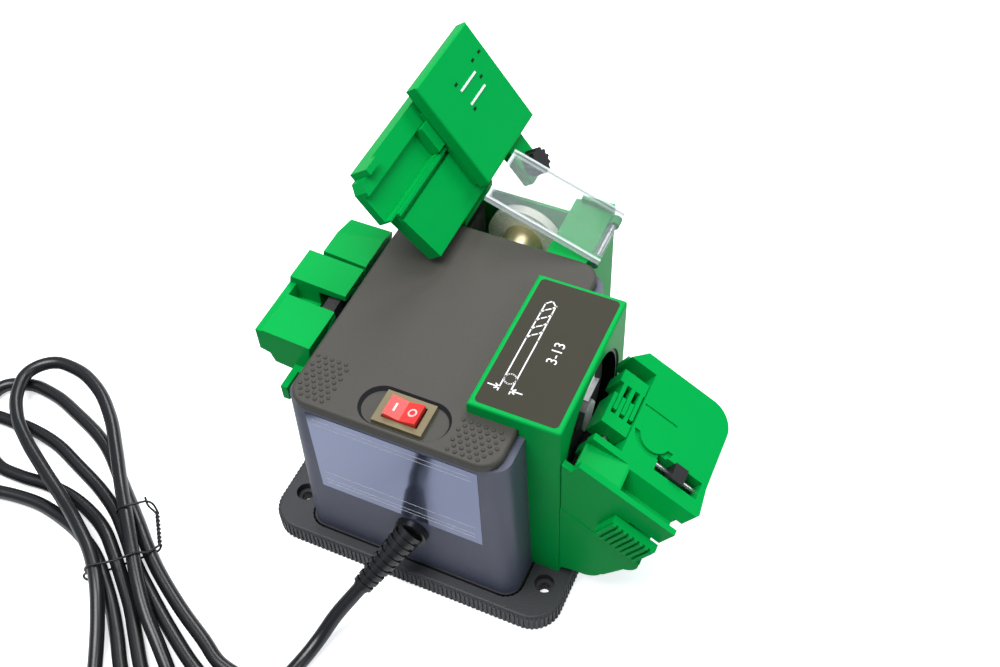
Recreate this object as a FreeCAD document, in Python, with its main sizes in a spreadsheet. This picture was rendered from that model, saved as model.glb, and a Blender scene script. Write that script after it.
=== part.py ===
import FreeCAD, Part
import math
import os
import re
import Sketcher

Vec = FreeCAD.Vector
Rot = FreeCAD.Rotation
doc = FreeCAD.newDocument("sharpener")
sheet = doc.addObject("Spreadsheet::Sheet", "sizes")
nodes = []

SIZES = {
    # Clearances between moving and between seated pieces
    "fit": 0.3,
    "snug": 0.1,
    # Base plate and its bolt holes
    "base_width": 136,
    "base_depth": 144,
    "base_height": 10,
    "base_corner": 13,
    "base_edge": 1.2,
    "bolt_x": 58.6,
    "bolt_y": 54,
    "bolt_r": 2.5,
    "bolt_head_r": 4.3,
    "bolt_head_deep": 4,
    # Housing, its room and its bearings
    "foot_half": 49.5,
    "head_left": 46,
    "head_right": 48,
    "front_foot": 65.4,
    "front_head": 65.2,
    "back_wall": 40,
    "housing_top": 103,
    "housing_corner": 7,
    "room_left": 42,
    "room_right": 44,
    "room_front": 63,
    "room_back": 37,
    "axle_y": -12,
    "axle_z": 80,
    "bearing_r": 11,
    "bearing_width": 7,
    "boss_r": 15,
    "boss_long": 5,
    "spindle_x": -2.4,
    "spindle_boss_long": 16,
    "cord_x": 4,
    "cord_z": 37,
    "cord_hole_r": 4.6,
    # Lid, its rim and the switch recess
    "lid_top": 107,
    "lid_left": 44.5,
    "lid_right": 45,
    "lid_front": 67,
    "lid_back": 42.3,
    "lid_corner": 9,
    "lid_edge": 1.6,
    "rim_deep": 3,
    "rim_thick": 2,
    "switch_x": 2.5,
    "switch_y": -56.1,
    "oval_half": 19,
    "oval_r": 9.3,
    "oval_deep": 1.8,
    "cutout_long": 19.2,
    "cutout_wide": 13,
    # Rocker switch
    "bezel_long": 21,
    "bezel_wide": 15,
    "bezel_high": 2.2,
    "switch_deep": 14,
    "rocker_long": 13.6,
    "rocker_wide": 9.4,
    "rocker_drop": 6,
    "rocker_rise": 2.4,
    "rocker_dip": 0.9,
    "rocker_pivot_drop": 1.0,
    "tab_wide": 4.8,
    "tab_thick": 0.8,
    "tab_long": 8,
    "tab_step": 7,
    "rocker_gap": 0.5,
    "pivot_r": 1.2,
    "pivot_out": 0.9,
    # Motor
    "motor_y": -12,
    "motor_left": -30,
    "motor_right": 20,
    "motor_r": 23,
    "can_wall": 2,
    "axle_r": 4,
    "rotor_left": -18,
    "rotor_right": 10,
    "commutator_r": 8,
    "commutator_long": 6,
    "armature_r": 3,
    "armature_out": 41,
    "magnet_thick": 4,
    "magnet_gap": 16,
    "cap_thick": 3,
    "brush_wide": 5,
    "brush_long": 4,
    "motor_seat": 3,
    "rotor_gap": 1,
    "cradle_inset": 3,
    "cradle_rise": -6,
    # Belt drive
    "pulley_left": 28,
    "pulley_right": 38,
    "pulley_r": 9,
    "rim_r": 11,
    "rim_wide": 1.5,
    "belt_thick": 1.6,
    # Shafts, gears, nuts and wheels
    "axle_left": -61,
    "axle_right": 60.5,
    "spindle_end": 75.3,
    "nut_half": 6.5,
    "nut_long": 3.4,
    "gear_pitch_r": 10,
    "gear_inner_share": 0.68,
    "tooth_foot": 1.4,
    "tooth_head": 0.9,
    "tooth_foot_half": 1.05,
    "tooth_head_half": 0.4,
    "gear_teeth": 16,
    "gear_hub_r": 7,
    "gear_hub_long": 6,
    "drill_wheel_left": 51.5,
    "drill_wheel_right": 57,
    "drill_wheel_r": 24,
    "knife_wheel_left": -57.5,
    "knife_wheel_right": -52,
    "knife_wheel_r": 18,
    "chisel_wheel_front": 67,
    "chisel_wheel_back": 71.5,
    "chisel_wheel_r": 17.3,
    "hub_r": 9,
    # Wheel hub
    "hub_front": 44,
    # Drill station, its wheel guard and its spring tab
    "station_right": 62.3,
    "station_front": -46.4,
    "station_back": 23.8,
    "station_top": 113,
    "flange_left": 24,
    "mouth_r": 29,
    "mouth_floor": 50.3,
    "shaft_hole_r": 6,
    "plate_frame": 4,
    "plate_deep": 0.6,
    "station_edge": 1.2,
    "guard_wall": 1.5,
    "guard_right": 61.5,
    "guard_floor": 0.8,
    "guard_hole_r": 8,
    "tab_left": 60,
    "tab_thin": 0.6,
    "tab_front": -19,
    "tab_back": -7,
    "tab_low": 99.5,
    "tab_lip": 2.5,
    # Cradle under the drill holder
    "holder_tilt": 31,
    "cradle_top_n": 85,
    "cradle_back": 10,
    "pin_d": 33.5,
    "pin_y": -13.5,
    "pin_r": 4,
    "pin_low": 74,
    "pin_high": 111,
    "lobe_x": 72,
    "lobe_z": 26,
    "lobe_r": 10,
    "lobe_two_x": 89,
    "lobe_two_z": 40,
    "lobe_two_r": 7.5,
    "cradle_high": 75,
    "cradle_low": 15,
    "toe_x": 100,
    "toe_z": 50,
    "chin_x": 97,
    "chin_z": 41,
    "belly_x": 90,
    "belly_z": 32,
    "hip_x": 82,
    "hip_z": 22,
    "knee_x": 74,
    "knee_z": 17,
    # Drill holder, in its tilted frame
    "plate_low_n": 112,
    "plate_top_n": 118,
    "holder_front": -46.1,
    "holder_left": 10.4,
    "holder_right": 61.5,
    "holder_back": 18,
    "back_left": 16.6,
    "back_right": 51.4,
    "nose_d": 63,
    "nose_y": -32,
    "heel_d": 56.5,
    "heel_y": -41,
    "holder_wall": 3,
    "rail_drop_d": 41.3,
    "rail_drop_n": 110,
    "skirt_d": 45.7,
    "frame_low_n": 104,
    "frame_right": 27,
    "window_right": 23,
    "window_front": -29,
    "window_back": 11,
    "groove_d": 29,
    "groove_front": -44,
    "groove_back": -33,
    "groove_n": 110,
    "slot_left": 38,
    "slot_right": 59,
    "slot_front": -27,
    "slot_back": -19,
    "slot_floor_n": 109,
    "boss_out_r": 8,
    "mark_left": 24,
    "mark_right": 40,
    "mark_y": -4,
    "mark_wide": 0.9,
    "mark_deep": 0.6,
    "rod_r": 1.1,
    "rod_n": 113,
    "rod_in": 1,
    "arm_d": 17,
    "arm_wide": 5,
    "arm_n": 97,
    "arm_thick": 4,
    "arm_y": -27,
    "stem_d": 39.5,
    "stem_wide": 4.5,
    "jaw_rod_d": 18,
    "jaw_rod_n": 108,
    "jaw_rod_r": 1.5,
    "jaw_rod_front": -32,
    "jaw_rod_back": 14,
    "shoulder_y": -20,
    "back_foot": 30,
    "end_front": -30,
    "frame_wide": 4,
    "groove_slant": 4,
    "stem_room": 8,
    "rod_inset": 2,
    "corner_r": 11,
    "ring_in": 7.3,
    "ring_out": 9.8,
    "ring_deep": 1.4,
    "ramp_end": 28,
    "ramp_drop": 5,
    # Jaws, length stop and thumb grip
    "jaw_left": 10.6,
    "jaw_low_n": 105,
    "jaw_top_n": 117,
    "jaw_front": -22,
    "jaw_back": 5,
    "jaw_root": 6,
    "finger_tip": -7,
    "finger_tip_two": -14,
    "finger_wide": 2.0,
    "finger_step": 4.0,
    "stop_left": 45,
    "stop_right": 51,
    "stop_low_n": 110,
    "stop_top_n": 120,
    "grip_left": 36,
    "grip_right": 57,
    "grip_low_n": 92,
    "grip_high_n": 106,
    "grip_front": -51,
    "grip_rib": 1.1,
    "grip_ribs": 8,
    # Knife station
    "pod_front": -40,
    "pod_back": 33,
    "pod_right": -49,
    "pod_low": 83,
    "hump_top": 104,
    "notch_front": -19,
    "notch_back": -10,
    "slit_front": 6.5,
    "slit_back": 8,
    "slit_floor": 92,
    "notch_floor": 92,
    "strip_left": -76,
    "strip_thick": 3.2,
    "strip_top": 100,
    "strip_front": -38,
    "mid_left": -76,
    "rear_left": -70,
    "crown_drop": 1.8,
    "cover_left": -64.5,
    "cover_r": 21.5,
    "well_left": -62,
    "well_r": 19.5,
    "foot_left": -58,
    "foot_front": -52,
    "foot_low": 80,
    "foot_top": 88,
    "foot_slot_wide": 5,
    "trough_top": 94,
    "trough_left": -71,
    "floor_right": -52,
    "floor_left": -68,
    "floor_z": 85,
    "front_left": -72,
    "hump_drop": 5,
    "slope_y": 20,
    "slope_drop": 5,
    "strip_low": 88,
    "link_right": -66,
    "foot_wall": 3,
    "gap_floor": 86,
    # Chisel station and the hinge of its shield
    "rear_half": 37,
    "rear_back": 77.5,
    "rear_top": 105,
    "pit_left": -33,
    "pit_right": 19,
    "pit_front": 43.2,
    "pit_back": 75.8,
    "pit_floor": 55,
    "hinge_x": 39.3,
    "hinge_z": 103.2,
    "ear_r": 2.3,
    "ear_wide": 4.5,
    "ear_front": 45,
    "ear_back": 74,
    "hinge_r": 1.2,
    "stop_left_x": 22,
    "stop_front_y": 75.5,
    "stop_top_z": 108,
    "stem_front": 46,
    "stem_back": 74,
    "stem_left": -37,
    "stem_right": -20,
    "bed_tilt": 53,
    "bed_low_n": 48,
    "bed_n": 55,
    "hub_gap": 1,
    "roof_thick": 3,
    "back_open_z": 96,
    "guard_left": -32.8,
    "guard_end": -20.4,
    "guard_front_y": 43.6,
    "guard_back_y": 66,
    "guard_top": 97,
    # Chisel bed, in its tilted frame
    "bed_high": -151,
    "bed_foot": -101,
    "bed_back": 108,
    "groove_high": -126,
    "groove_low": -124,
    "groove_bottom_n": 53,
    "lip_wide": 3,
    "lip_rise": 3,
    "lip_long": 8,
    "band_high": -142,
    "band_low": -129,
    "band_deep": 3,
    "ledge_front": 8,
    "lip_front": 13,
    "nook_y": 10.5,
    "nook_in": 3,
    "round_in": 7,
    "tongue_left": 13,
    "tongue_right": 16.5,
    "ridge_high": -128,
    "ridge_wide": 1.5,
    "ridge_rise": 1,
    # Carriage, clamp plate and knob on the bed
    "slide_high": -145,
    "slide_low": -106,
    "slide_front": 56,
    "slide_back": 102,
    "slide_n": 57.6,
    "ear_low": -84.5,
    "ear_y0": 79.5,
    "ear_y1": 92.5,
    "clamp_high": -157,
    "clamp_low": -105,
    "clamp_front": 55,
    "clamp_back": 102.5,
    "clamp_n0": 58.4,
    "clamp_n1": 64.4,
    "clamp_edge": 1.0,
    "guide_b": -138,
    "guide_r": 2,
    "guide_y0": 64,
    "guide_y1": 93,
    "guide_n0": 56,
    "guide_n1": 62.4,
    "knob_b": -91,
    "knob_y": 86,
    "screw_r": 2.5,
    "screw_n0": 53.5,
    "ear_n1": 60.6,
    "knob_n0": 60.6,
    "knob_n1": 67,
    "knob_r": 6,
    "knob_notch_r": 1.0,
    "ear_root": 2,
    "knob_notches": 12,
    "rib_front": 50,
    # Clear shield
    "shield_long": 53,
    "shield_front": 44,
    "shield_back": 75,
    "shield_thick": 1.8,
    "shield_lift": 2.6,
    "shield_rest": 20,
    "lug_half": 1.2,
    "lug_wide": 5,
    "hem_wide": 1.4,
    "hem_high": 0.9,
    "plate_end": 1.7,
    "lug_r": 2.0,
    # Cord boot
    "boot_x": -9.5,
    "boot_y": -91,
    "boot_z": 20,
    "boot_root_y": -66.5,
    "collar_r": 7.4,
    "collar_long": 3,
    "neck_r": 4.4,
    "neck_in": -58,
    "boot_root_r": 6.3,
    "boot_tip_r": 4.3,
    "boot_ribs": 10,
    "boot_groove": 1.0,
    "cord_r": 3.15,
    "boot_lead": 16,
    # Cord, tied hank, plug and tie
    "hank_x": -125,
    "hank_y": -108,
    "hank_turn": 139.8,
    "plug_long": 36,
    "plug_half": 13,
    "plug_thick": 13.7,
    "plug_neck": 5,
    "prong_r": 2,
    "prong_long": 19,
    "prong_half": 9.3,
    "tie_wide": 2.4,
    "tie_thick": 1.2,
    "tie_tail": 14,
    "plug_throat": 8,
    "plug_shoulder": 15,
    "tie_left": 15.8,
    "tie_right": 14.3,
    "tie_low": 1.75,
    "tie_high": 15.8,
}

value = {}
for row, (alias, size) in enumerate(SIZES.items(), 1):
    sheet.set("A%d" % row, alias)
    sheet.set("B%d" % row, str(size))
    sheet.setAlias("B%d" % row, alias)
    value[alias] = float(size)
doc.recompute()


def of_sheet(text):
    """Turn a formula of plain size names into a formula on the sheet."""
    def named(word):
        return ("sizes." if word.group(0) in value else "") + word.group(0)
    return re.sub(r"[a-z_][a-z0-9_]*", named, text)


def bind(item, **formulas):
    for name, text in formulas.items():
        item.setExpression(name.replace("_at_", "."), of_sheet(str(text)))


def seat(item, px, py, pz):
    bind(item, Placement_at_Base_at_x=px, Placement_at_Base_at_y=py, Placement_at_Base_at_z=pz)
    return item


def box(name, x0, x1, y0, y1, z0, z1):
    item = doc.addObject("Part::Box", name)
    bind(item, Length="(%s)-(%s)" % (x1, x0), Width="(%s)-(%s)" % (y1, y0), Height="(%s)-(%s)" % (z1, z0))
    return seat(item, x0, y0, z0)


TURN = {"x": Rot(Vec(0, 1, 0), 90), "y": Rot(Vec(1, 0, 0), -90), "z": Rot()}


def along(axis, a, b, start):
    """Base point of a round piece whose centre line runs along one axis."""
    return {"x": (start, a, b), "y": (a, start, b), "z": (a, b, start)}[axis]


def rod(name, axis, a, b, start, end, radius):
    """Cylinder along an axis; a and b are the two other coordinates in order."""
    item = doc.addObject("Part::Cylinder", name)
    item.Placement = FreeCAD.Placement(Vec(), TURN[axis])
    bind(item, Radius=radius, Height="(%s)-(%s)" % (end, start))
    return seat(item, *along(axis, a, b, start))


PLANE = {"x": Rot(0.5, 0.5, 0.5, 0.5), "y": Rot(Vec(1, 0, 0), 90), "z": Rot()}
WAY = {"x": Vec(1, 0, 0), "y": Vec(0, 1, 0), "z": Vec(0, 0, 1)}


def number(text):
    """Present value of a formula, used only to start a sketch near its solution."""
    sheet_value = sheet.evalExpression(of_sheet(str(text)))
    return float(getattr(sheet_value, "Value", sheet_value))


def sketch(name, axis, points, start):
    """Closed outline of straight lines; every corner is set by two formulas."""
    item = doc.addObject("Sketcher::SketchObject", name)
    item.Placement = FreeCAD.Placement(Vec(), PLANE[axis])
    near = [Vec(number(a), number(b), 0) for a, b in points]
    count = len(near)
    for i in range(count):
        item.addGeometry(Part.LineSegment(near[i], near[(i + 1) % count]), False)
    for i in range(count):
        item.addConstraint(Sketcher.Constraint("Coincident", i, 2, (i + 1) % count, 1))
    for i, (a, b) in enumerate(points):
        for kind, text, at in (("DistanceX", a, near[i].x), ("DistanceY", b, near[i].y)):
            row = item.addConstraint(Sketcher.Constraint(kind, -1, 1, i, 1, at))
            item.setExpression("Constraints[%d]" % row, of_sheet(str(text)))
    bind(item, **{"Placement_at_Base_at_" + axis: start})
    return item


def prism(name, axis, points, start, end):
    """Outline in the plane across an axis, drawn out from start to end."""
    item = doc.addObject("Part::Extrusion", name)
    item.Base = sketch(name + "_outline", axis, points, start)
    item.DirMode = "Custom"
    item.Dir = WAY[axis]
    item.Solid = True
    bind(item, LengthFwd="(%s)-(%s)" % (end, start))
    return item


def spun(name, points):
    """Outline (radius, height) turned about the vertical axis."""
    item = doc.addObject("Part::Revolution", name)
    item.Source = sketch(name + "_outline", "y", points, "0")
    item.Axis = Vec(0, 0, 1)
    item.Base = Vec()
    item.Angle = 360
    item.Solid = True
    return item


def join(name, *items):
    item = doc.addObject("Part::MultiFuse", name)
    item.Shapes = list(items)
    item.Refine = True
    return item


def less(name, item, *tools):
    result = doc.addObject("Part::Cut", name)
    result.Base = item
    result.Tool = tools[0] if len(tools) == 1 else join(name + "_tools", *tools)
    result.Refine = True
    return result


def group(name, *items):
    item = doc.addObject("Part::Compound", name)
    item.Links = list(items)
    return item


def rounded(name, item, radius, pick, kind="Part::Fillet"):
    """Round (or chamfer) the edges that the test picks."""
    doc.recompute()
    result = doc.addObject(kind, name)
    result.Base = item
    size = value[radius]
    result.Edges = [(i + 1, size, size) for i, e in enumerate(item.Shape.Edges) if pick(e)]
    return result


def upright(edge, axis="z"):
    way = edge.tangentAt(edge.FirstParameter)
    return len(edge.Vertexes) == 2 and abs(way.dot(WAY[axis])) > 0.999


def level(edge, z):
    box_ = edge.BoundBox
    return abs(box_.ZMin - z) < 0.01 and abs(box_.ZMax - z) < 0.01


def node(item, label, tilt=None):
    """Name a finished piece; a tilted piece is turned about the Y axis."""
    item.Label = label
    if tilt:
        item.Placement = FreeCAD.Placement(Vec(), Rot(Vec(0, 1, 0), value[tilt]))
        item.setExpression("Placement.Rotation.Angle", of_sheet(tilt))
    nodes.append(item)
    return item




def base():
    block = box("base_block", "-base_width/2", "base_width/2", "-base_depth/2", "base_depth/2", "0",
                "base_height")
    block = rounded("base_round", block, "base_corner", upright)
    block = rounded("base_soft", block, "base_edge", lambda e: level(e, value["base_height"]))
    holes = []
    for i, (sx, sy) in enumerate(((1, 1), (1, -1), (-1, 1), (-1, -1))):
        at = ("%d*bolt_x" % sx, "%d*bolt_y" % sy)
        holes.append(rod("bolt_hole_%d" % i, "z", *at, "-1", "base_height+1", "bolt_r"))
        holes.append(rod("bolt_sink_%d" % i, "z", *at, "base_height-bolt_head_deep", "base_height+1",
                         "bolt_head_r"))
    node(less("base_plate", block, *holes), "base_plate")


def tapered_block(name, low, high, z0, z1, corner):
    """Four-sided block with rounded upright corners, drawn between two rectangles."""
    walls = []
    for part, (x0, x1, y0, y1), z in (("foot", low, z0), ("head", high, z1)):
        points = [(x0, y0), (x1, y0), (x1, y1), (x0, y1)]
        walls.append(sketch(name + "_" + part, "z", points, z))
    item = doc.addObject("Part::Loft", name)
    item.Sections = walls
    item.Solid = True
    item.Ruled = True
    return rounded(name + "_round", item, corner, lambda e: abs(e.tangentAt(0).z) > 0.9)


def housing():
    outer = tapered_block("shell", ("-foot_half", "foot_half", "-front_foot", "back_wall"),
                          ("-head_left", "head_right", "-front_head", "back_wall"),
                          "base_height", "housing_top", "housing_corner")
    room = box("room", "-room_left", "room_right", "-room_front", "room_back", "base_height-1",
               "housing_top+1")
    hollow = less("hollow_shell", outer, room)
    bosses = [
        rod("boss_right", "x", "axle_y", "axle_z", "room_right-boss_long", "room_right+1", "boss_r"),
        rod("boss_left", "x", "axle_y", "axle_z", "-room_left-1", "-room_left+boss_long", "boss_r"),
        rod("boss_back", "y", "spindle_x", "axle_z", "room_back-spindle_boss_long", "room_back+1",
            "boss_r"),
    ]
    solid = join("shell_bosses", hollow, *bosses)
    bores = [
        rod("bore_axle", "x", "axle_y", "axle_z", "-foot_half-5", "foot_half+5", "bearing_r+snug/2"),
        rod("bore_spindle", "y", "spindle_x", "axle_z", "0", "back_wall+5", "bearing_r+snug/2"),
        rod("bore_cord", "y", "cord_x", "cord_z", "-front_foot-5", "-room_front+5", "cord_hole_r"),
    ]
    node(less("housing", solid, *bores), "housing")
    return outer


def lid():
    plate = box("lid_block", "-lid_left", "lid_right", "-lid_front", "lid_back", "housing_top", "lid_top")
    plate = rounded("lid_round", plate, "lid_corner", upright)
    plate = rounded("lid_soft", plate, "lid_edge", lambda e: level(e, value["lid_top"]))
    rim = less("lid_rim",
               box("rim_out", "-room_left+fit", "room_right-fit", "-room_front+fit", "room_back-fit",
                   "housing_top-rim_deep", "housing_top"),
               box("rim_in", "-room_left+fit+rim_thick", "room_right-fit-rim_thick",
                   "-room_front+fit+rim_thick",
                   "room_back-fit-rim_thick", "housing_top-rim_deep-1", "housing_top+1"))
    reach = "oval_half-oval_r"
    floor = "lid_top-oval_deep"
    recess = [
        box("oval_mid", "switch_x-(%s)" % reach, "switch_x+(%s)" % reach, "switch_y-oval_r",
            "switch_y+oval_r",
            floor, "lid_top+1"),
        rod("oval_a", "z", "switch_x-(%s)" % reach, "switch_y", floor, "lid_top+1", "oval_r"),
        rod("oval_b", "z", "switch_x+(%s)" % reach, "switch_y", floor, "lid_top+1", "oval_r"),
        box("cutout", "switch_x-cutout_long/2", "switch_x+cutout_long/2", "switch_y-cutout_wide/2",
            "switch_y+cutout_wide/2", "housing_top-rim_deep-1", "lid_top+1"),
    ]
    node(less("lid", join("lid_rimmed", plate, rim), *recess), "lid")


def switch():
    floor = "lid_top-oval_deep"
    bezel = box("bezel", "switch_x-bezel_long/2", "switch_x+bezel_long/2", "switch_y-bezel_wide/2",
                "switch_y+bezel_wide/2", floor, floor + "+bezel_high")
    body = box("switch_can", "switch_x-cutout_long/2+snug", "switch_x+cutout_long/2-snug",
               "switch_y-cutout_wide/2+snug", "switch_y+cutout_wide/2-snug",
               floor + "-switch_deep", floor + "+1")
    well = box("switch_well", "switch_x-rocker_long/2-rocker_gap-fit",
               "switch_x+rocker_long/2+rocker_gap+fit",
               "switch_y-rocker_wide/2-fit", "switch_y+rocker_wide/2+fit", floor + "-rocker_drop-1.5",
               floor + "+bezel_high+1")
    turn_at = ("switch_x", floor + "-rocker_pivot_drop")
    seat_hole = rod("rocker_seat", "y", *turn_at, "switch_y-rocker_wide/2-pivot_out-snug",
                    "switch_y+rocker_wide/2+pivot_out+snug", "pivot_r+snug")
    node(less("switch_body", join("switch_frame", bezel, body), well, seat_hole), "switch_body")
    top = floor + "+bezel_high"
    outline = [("switch_x-rocker_long/2", top + "-0.6"), ("switch_x-rocker_long*0.18",
                                                          floor + "-rocker_drop"),
               ("switch_x+rocker_long*0.18", floor + "-rocker_drop"), ("switch_x+rocker_long/2",
                                                                       top + "-0.6"),
               ("switch_x+rocker_long/2", top + "+rocker_rise"), ("switch_x", top + "+rocker_dip"),
               ("switch_x-rocker_long/2", top + "+rocker_rise")]
    key = prism("rocker_key", "y", outline, "switch_y-rocker_wide/2", "switch_y+rocker_wide/2")
    pivot = rod("rocker_pivot", "y", *turn_at, "switch_y-rocker_wide/2-pivot_out",
                "switch_y+rocker_wide/2+pivot_out", "pivot_r")
    node(join("power_rocker", key, pivot), "power_rocker")
    low = floor + "-switch_deep"
    tabs = [box("tab_%d" % i, "switch_x+%d*tab_step-tab_thick/2" % i,
                "switch_x+%d*tab_step+tab_thick/2" % i,
                "switch_y-tab_wide/2", "switch_y+tab_wide/2", low + "-tab_long", low) for i in (-1, 0, 1)]
    node(group("switch_tabs", *tabs), "switch_tabs")


def motor():
    at = ("motor_y", "(base_height+motor_seat+motor_r)")
    can = less("motor_can", rod("can_out", "x", *at, "motor_left", "motor_right", "motor_r"),
               rod("can_in", "x", *at, "motor_left-1", "motor_right-can_wall", "motor_r-can_wall"),
               rod("can_eye", "x", *at, "motor_left", "motor_right+1", "armature_r+fit"))
    node(can, "motor_can")
    cap = less("motor_cap", rod("cap_out", "x", *at, "motor_left-cap_thick", "motor_left", "motor_r"),
               rod("cap_eye", "x", *at, "motor_left-cap_thick-1", "motor_left+1", "armature_r+fit"))
    node(cap, "motor_cap")
    magnet = less("motor_magnets", rod("magnet_out", "x", *at, "rotor_left", "rotor_right",
                                       "motor_r-can_wall"),
                  rod("magnet_in", "x", *at, "rotor_left-1", "rotor_right+1",
                      "motor_r-can_wall-magnet_thick"),
                  box("magnet_split", "rotor_left-1", "rotor_right+1", "motor_y-magnet_gap/2",
                      "motor_y+magnet_gap/2",
                      "(base_height+motor_seat+motor_r)-motor_r", "(base_height+motor_seat+motor_r)+motor_r"))
    node(magnet, "motor_magnets")
    rotor = join("motor_rotor", rod("rotor_core", "x", *at, "rotor_left", "rotor_right",
                                    "motor_r-can_wall-magnet_thick-rotor_gap"),
                 rod("rotor_ring", "x", *at, "rotor_left-2-commutator_long", "rotor_left", "commutator_r"),
                 rod("rotor_axle", "x", *at, "motor_left-cap_thick-2", "armature_out", "armature_r"))
    node(rotor, "motor_rotor")
    brushes = []
    for i, way in ((0, "+"), (1, "-")):
        near = "(base_height+motor_seat+motor_r)%s(commutator_r+fit)" % way
        far = "(base_height+motor_seat+motor_r)%s(motor_r-can_wall-0.5)" % way
        low, high = (near, far) if way == "+" else (far, near)
        brushes.append(box("brush_%d" % i, "rotor_left-1-brush_long", "rotor_left-1",
                           "motor_y-brush_wide/2",
                           "motor_y+brush_wide/2", low, high))
    node(group("motor_brushes", *brushes), "motor_brushes")
    cradle = less("motor_cradle", box("cradle_block", "motor_left+2", "motor_right-2",
                                      "motor_y-motor_r+cradle_inset",
                                      "motor_y+motor_r-cradle_inset",
                                      "base_height", "base_height+cradle_rise+motor_r"),
                  rod("cradle_bed", "x", *at, "motor_left", "motor_right", "motor_r"))
    node(cradle, "motor_cradle")


def belt_drive():
    for name, y, z, bore in (("drive_pulley", "motor_y", "(base_height+motor_seat+motor_r)", "armature_r"),
                             ("driven_pulley", "axle_y", "axle_z", "axle_r")):
        body = join(name + "_body", rod(name + "_hub", "x", y, z, "pulley_left", "pulley_right",
                                        "pulley_r"),
                    rod(name + "_rim_a", "x", y, z, "pulley_left", "pulley_left+rim_wide", "rim_r"),
                    rod(name + "_rim_b", "x", y, z, "pulley_right-rim_wide", "pulley_right", "rim_r"))
        node(less(name, body, rod(name + "_bore", "x", y, z, "pulley_left-1", "pulley_right+1", bore)),
             name)
    hulls = []
    ends = (("pulley_left+rim_wide+fit", "pulley_right-rim_wide-fit", "pulley_r+fit+belt_thick"),
            ("pulley_left", "pulley_right", "pulley_r+fit"))
    for i, (x0, x1, r) in enumerate(ends):
        hulls.append(join("belt_hull_%d" % i, rod("belt_low_%d" % i, "x", "motor_y",
                                                  "(base_height+motor_seat+motor_r)", x0, x1, r),
                          rod("belt_high_%d" % i, "x", "axle_y", "axle_z", x0, x1, r),
                          box("belt_mid_%d" % i, x0, x1, "axle_y-(%s)" % r, "axle_y+(%s)" % r,
                              "(base_height+motor_seat+motor_r)",
                              "axle_z")))
    node(less("drive_belt", *hulls), "drive_belt")


def mitre_gear(name, bore, turn, phase):
    """Bevel gear with straight teeth that all point to the crossing of the two shafts."""
    pitch = value["gear_pitch_r"]
    inner = value["gear_inner_share"]
    slope = math.sqrt(0.5)
    root = (pitch - value["tooth_foot"] * slope, pitch + value["tooth_foot"] * slope)
    crown = (pitch + value["tooth_head"] * slope, pitch - value["tooth_head"] * slope)
    back = pitch + value["gear_hub_long"]
    outline = [(bore, inner * root[1]), (inner * root[0], inner * root[1]), root,
               (value["gear_hub_r"], back), (bore, back)]
    face = Part.Face(Part.makePolygon([Vec(r, 0, z) for r, z in outline + outline[:1]]))
    solid = face.revolve(Vec(), Vec(0, 0, 1), 360)
    sunk = (root[0] - 0.3, root[1] + 0.3)
    count = int(value["gear_teeth"])
    for i in range(count):
        corners = []
        for share in (1.0, inner):
            for (r, z), half in ((sunk, value["tooth_foot_half"]), (crown, value["tooth_head_half"])):
                corners += [Vec(r * share, -half * share, z * share), Vec(r * share, half * share,
                                                                          z * share)]
        a, b, c, d, e, f, g, h = corners
        quads = ((a, b, d, c), (e, g, h, f), (a, c, g, e), (b, f, h, d), (c, d, h, g), (a, e, f, b))
        tooth = Part.Solid(Part.Shell([Part.Face(Part.makePolygon(list(q) + [q[0]])) for q in quads]))
        tooth.rotate(Vec(), Vec(0, 0, 1), (i + phase) * 360.0 / count)
        solid = solid.fuse(tooth)
    item = doc.addObject("Part::Feature", name)
    item.Shape = solid.removeSplitter()
    item.Placement = FreeCAD.Placement(Vec(), turn)
    seat(item, "spindle_x", "axle_y", "axle_z")
    node(item, name)


def shafts():
    node(rod("cross_shaft", "x", "axle_y", "axle_z", "axle_left", "axle_right", "axle_r"), "cross_shaft")
    spindle = rod("rear_spindle", "y", "spindle_x", "axle_z", "axle_y+gear_pitch_r", "spindle_end",
                  "axle_r")
    node(spindle, "rear_spindle")
    rings = []
    for i, x in enumerate(("room_right-boss_long+0.5", "-room_left+boss_long-0.5-bearing_width")):
        at = ("axle_y", "axle_z")
        rings.append(less("axle_ring_%d" % i, rod("axle_ring_out_%d" % i, "x", *at, x,
                                                  x + "+bearing_width", "bearing_r"),
                          rod("axle_ring_in_%d" % i, "x", *at, x + "-1", x + "+bearing_width+1",
                              "axle_r+snug")))
    node(group("axle_bearings", *rings), "axle_bearings")
    rings = []
    for i, y in enumerate(("room_back-spindle_boss_long+0.5", "back_wall-bearing_width-0.5")):
        at = ("spindle_x", "axle_z")
        rings.append(less("back_ring_%d" % i, rod("back_ring_out_%d" % i, "y", *at, y,
                                                  y + "+bearing_width", "bearing_r"),
                          rod("back_ring_in_%d" % i, "y", *at, y + "-1", y + "+bearing_width+1",
                              "axle_r+snug")))
    node(group("spindle_bearings", *rings), "spindle_bearings")
    mitre_gear("axle_gear", value["axle_r"], TURN["x"], 0.0)
    mitre_gear("spindle_gear", value["axle_r"], TURN["y"], 0.5)


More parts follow.
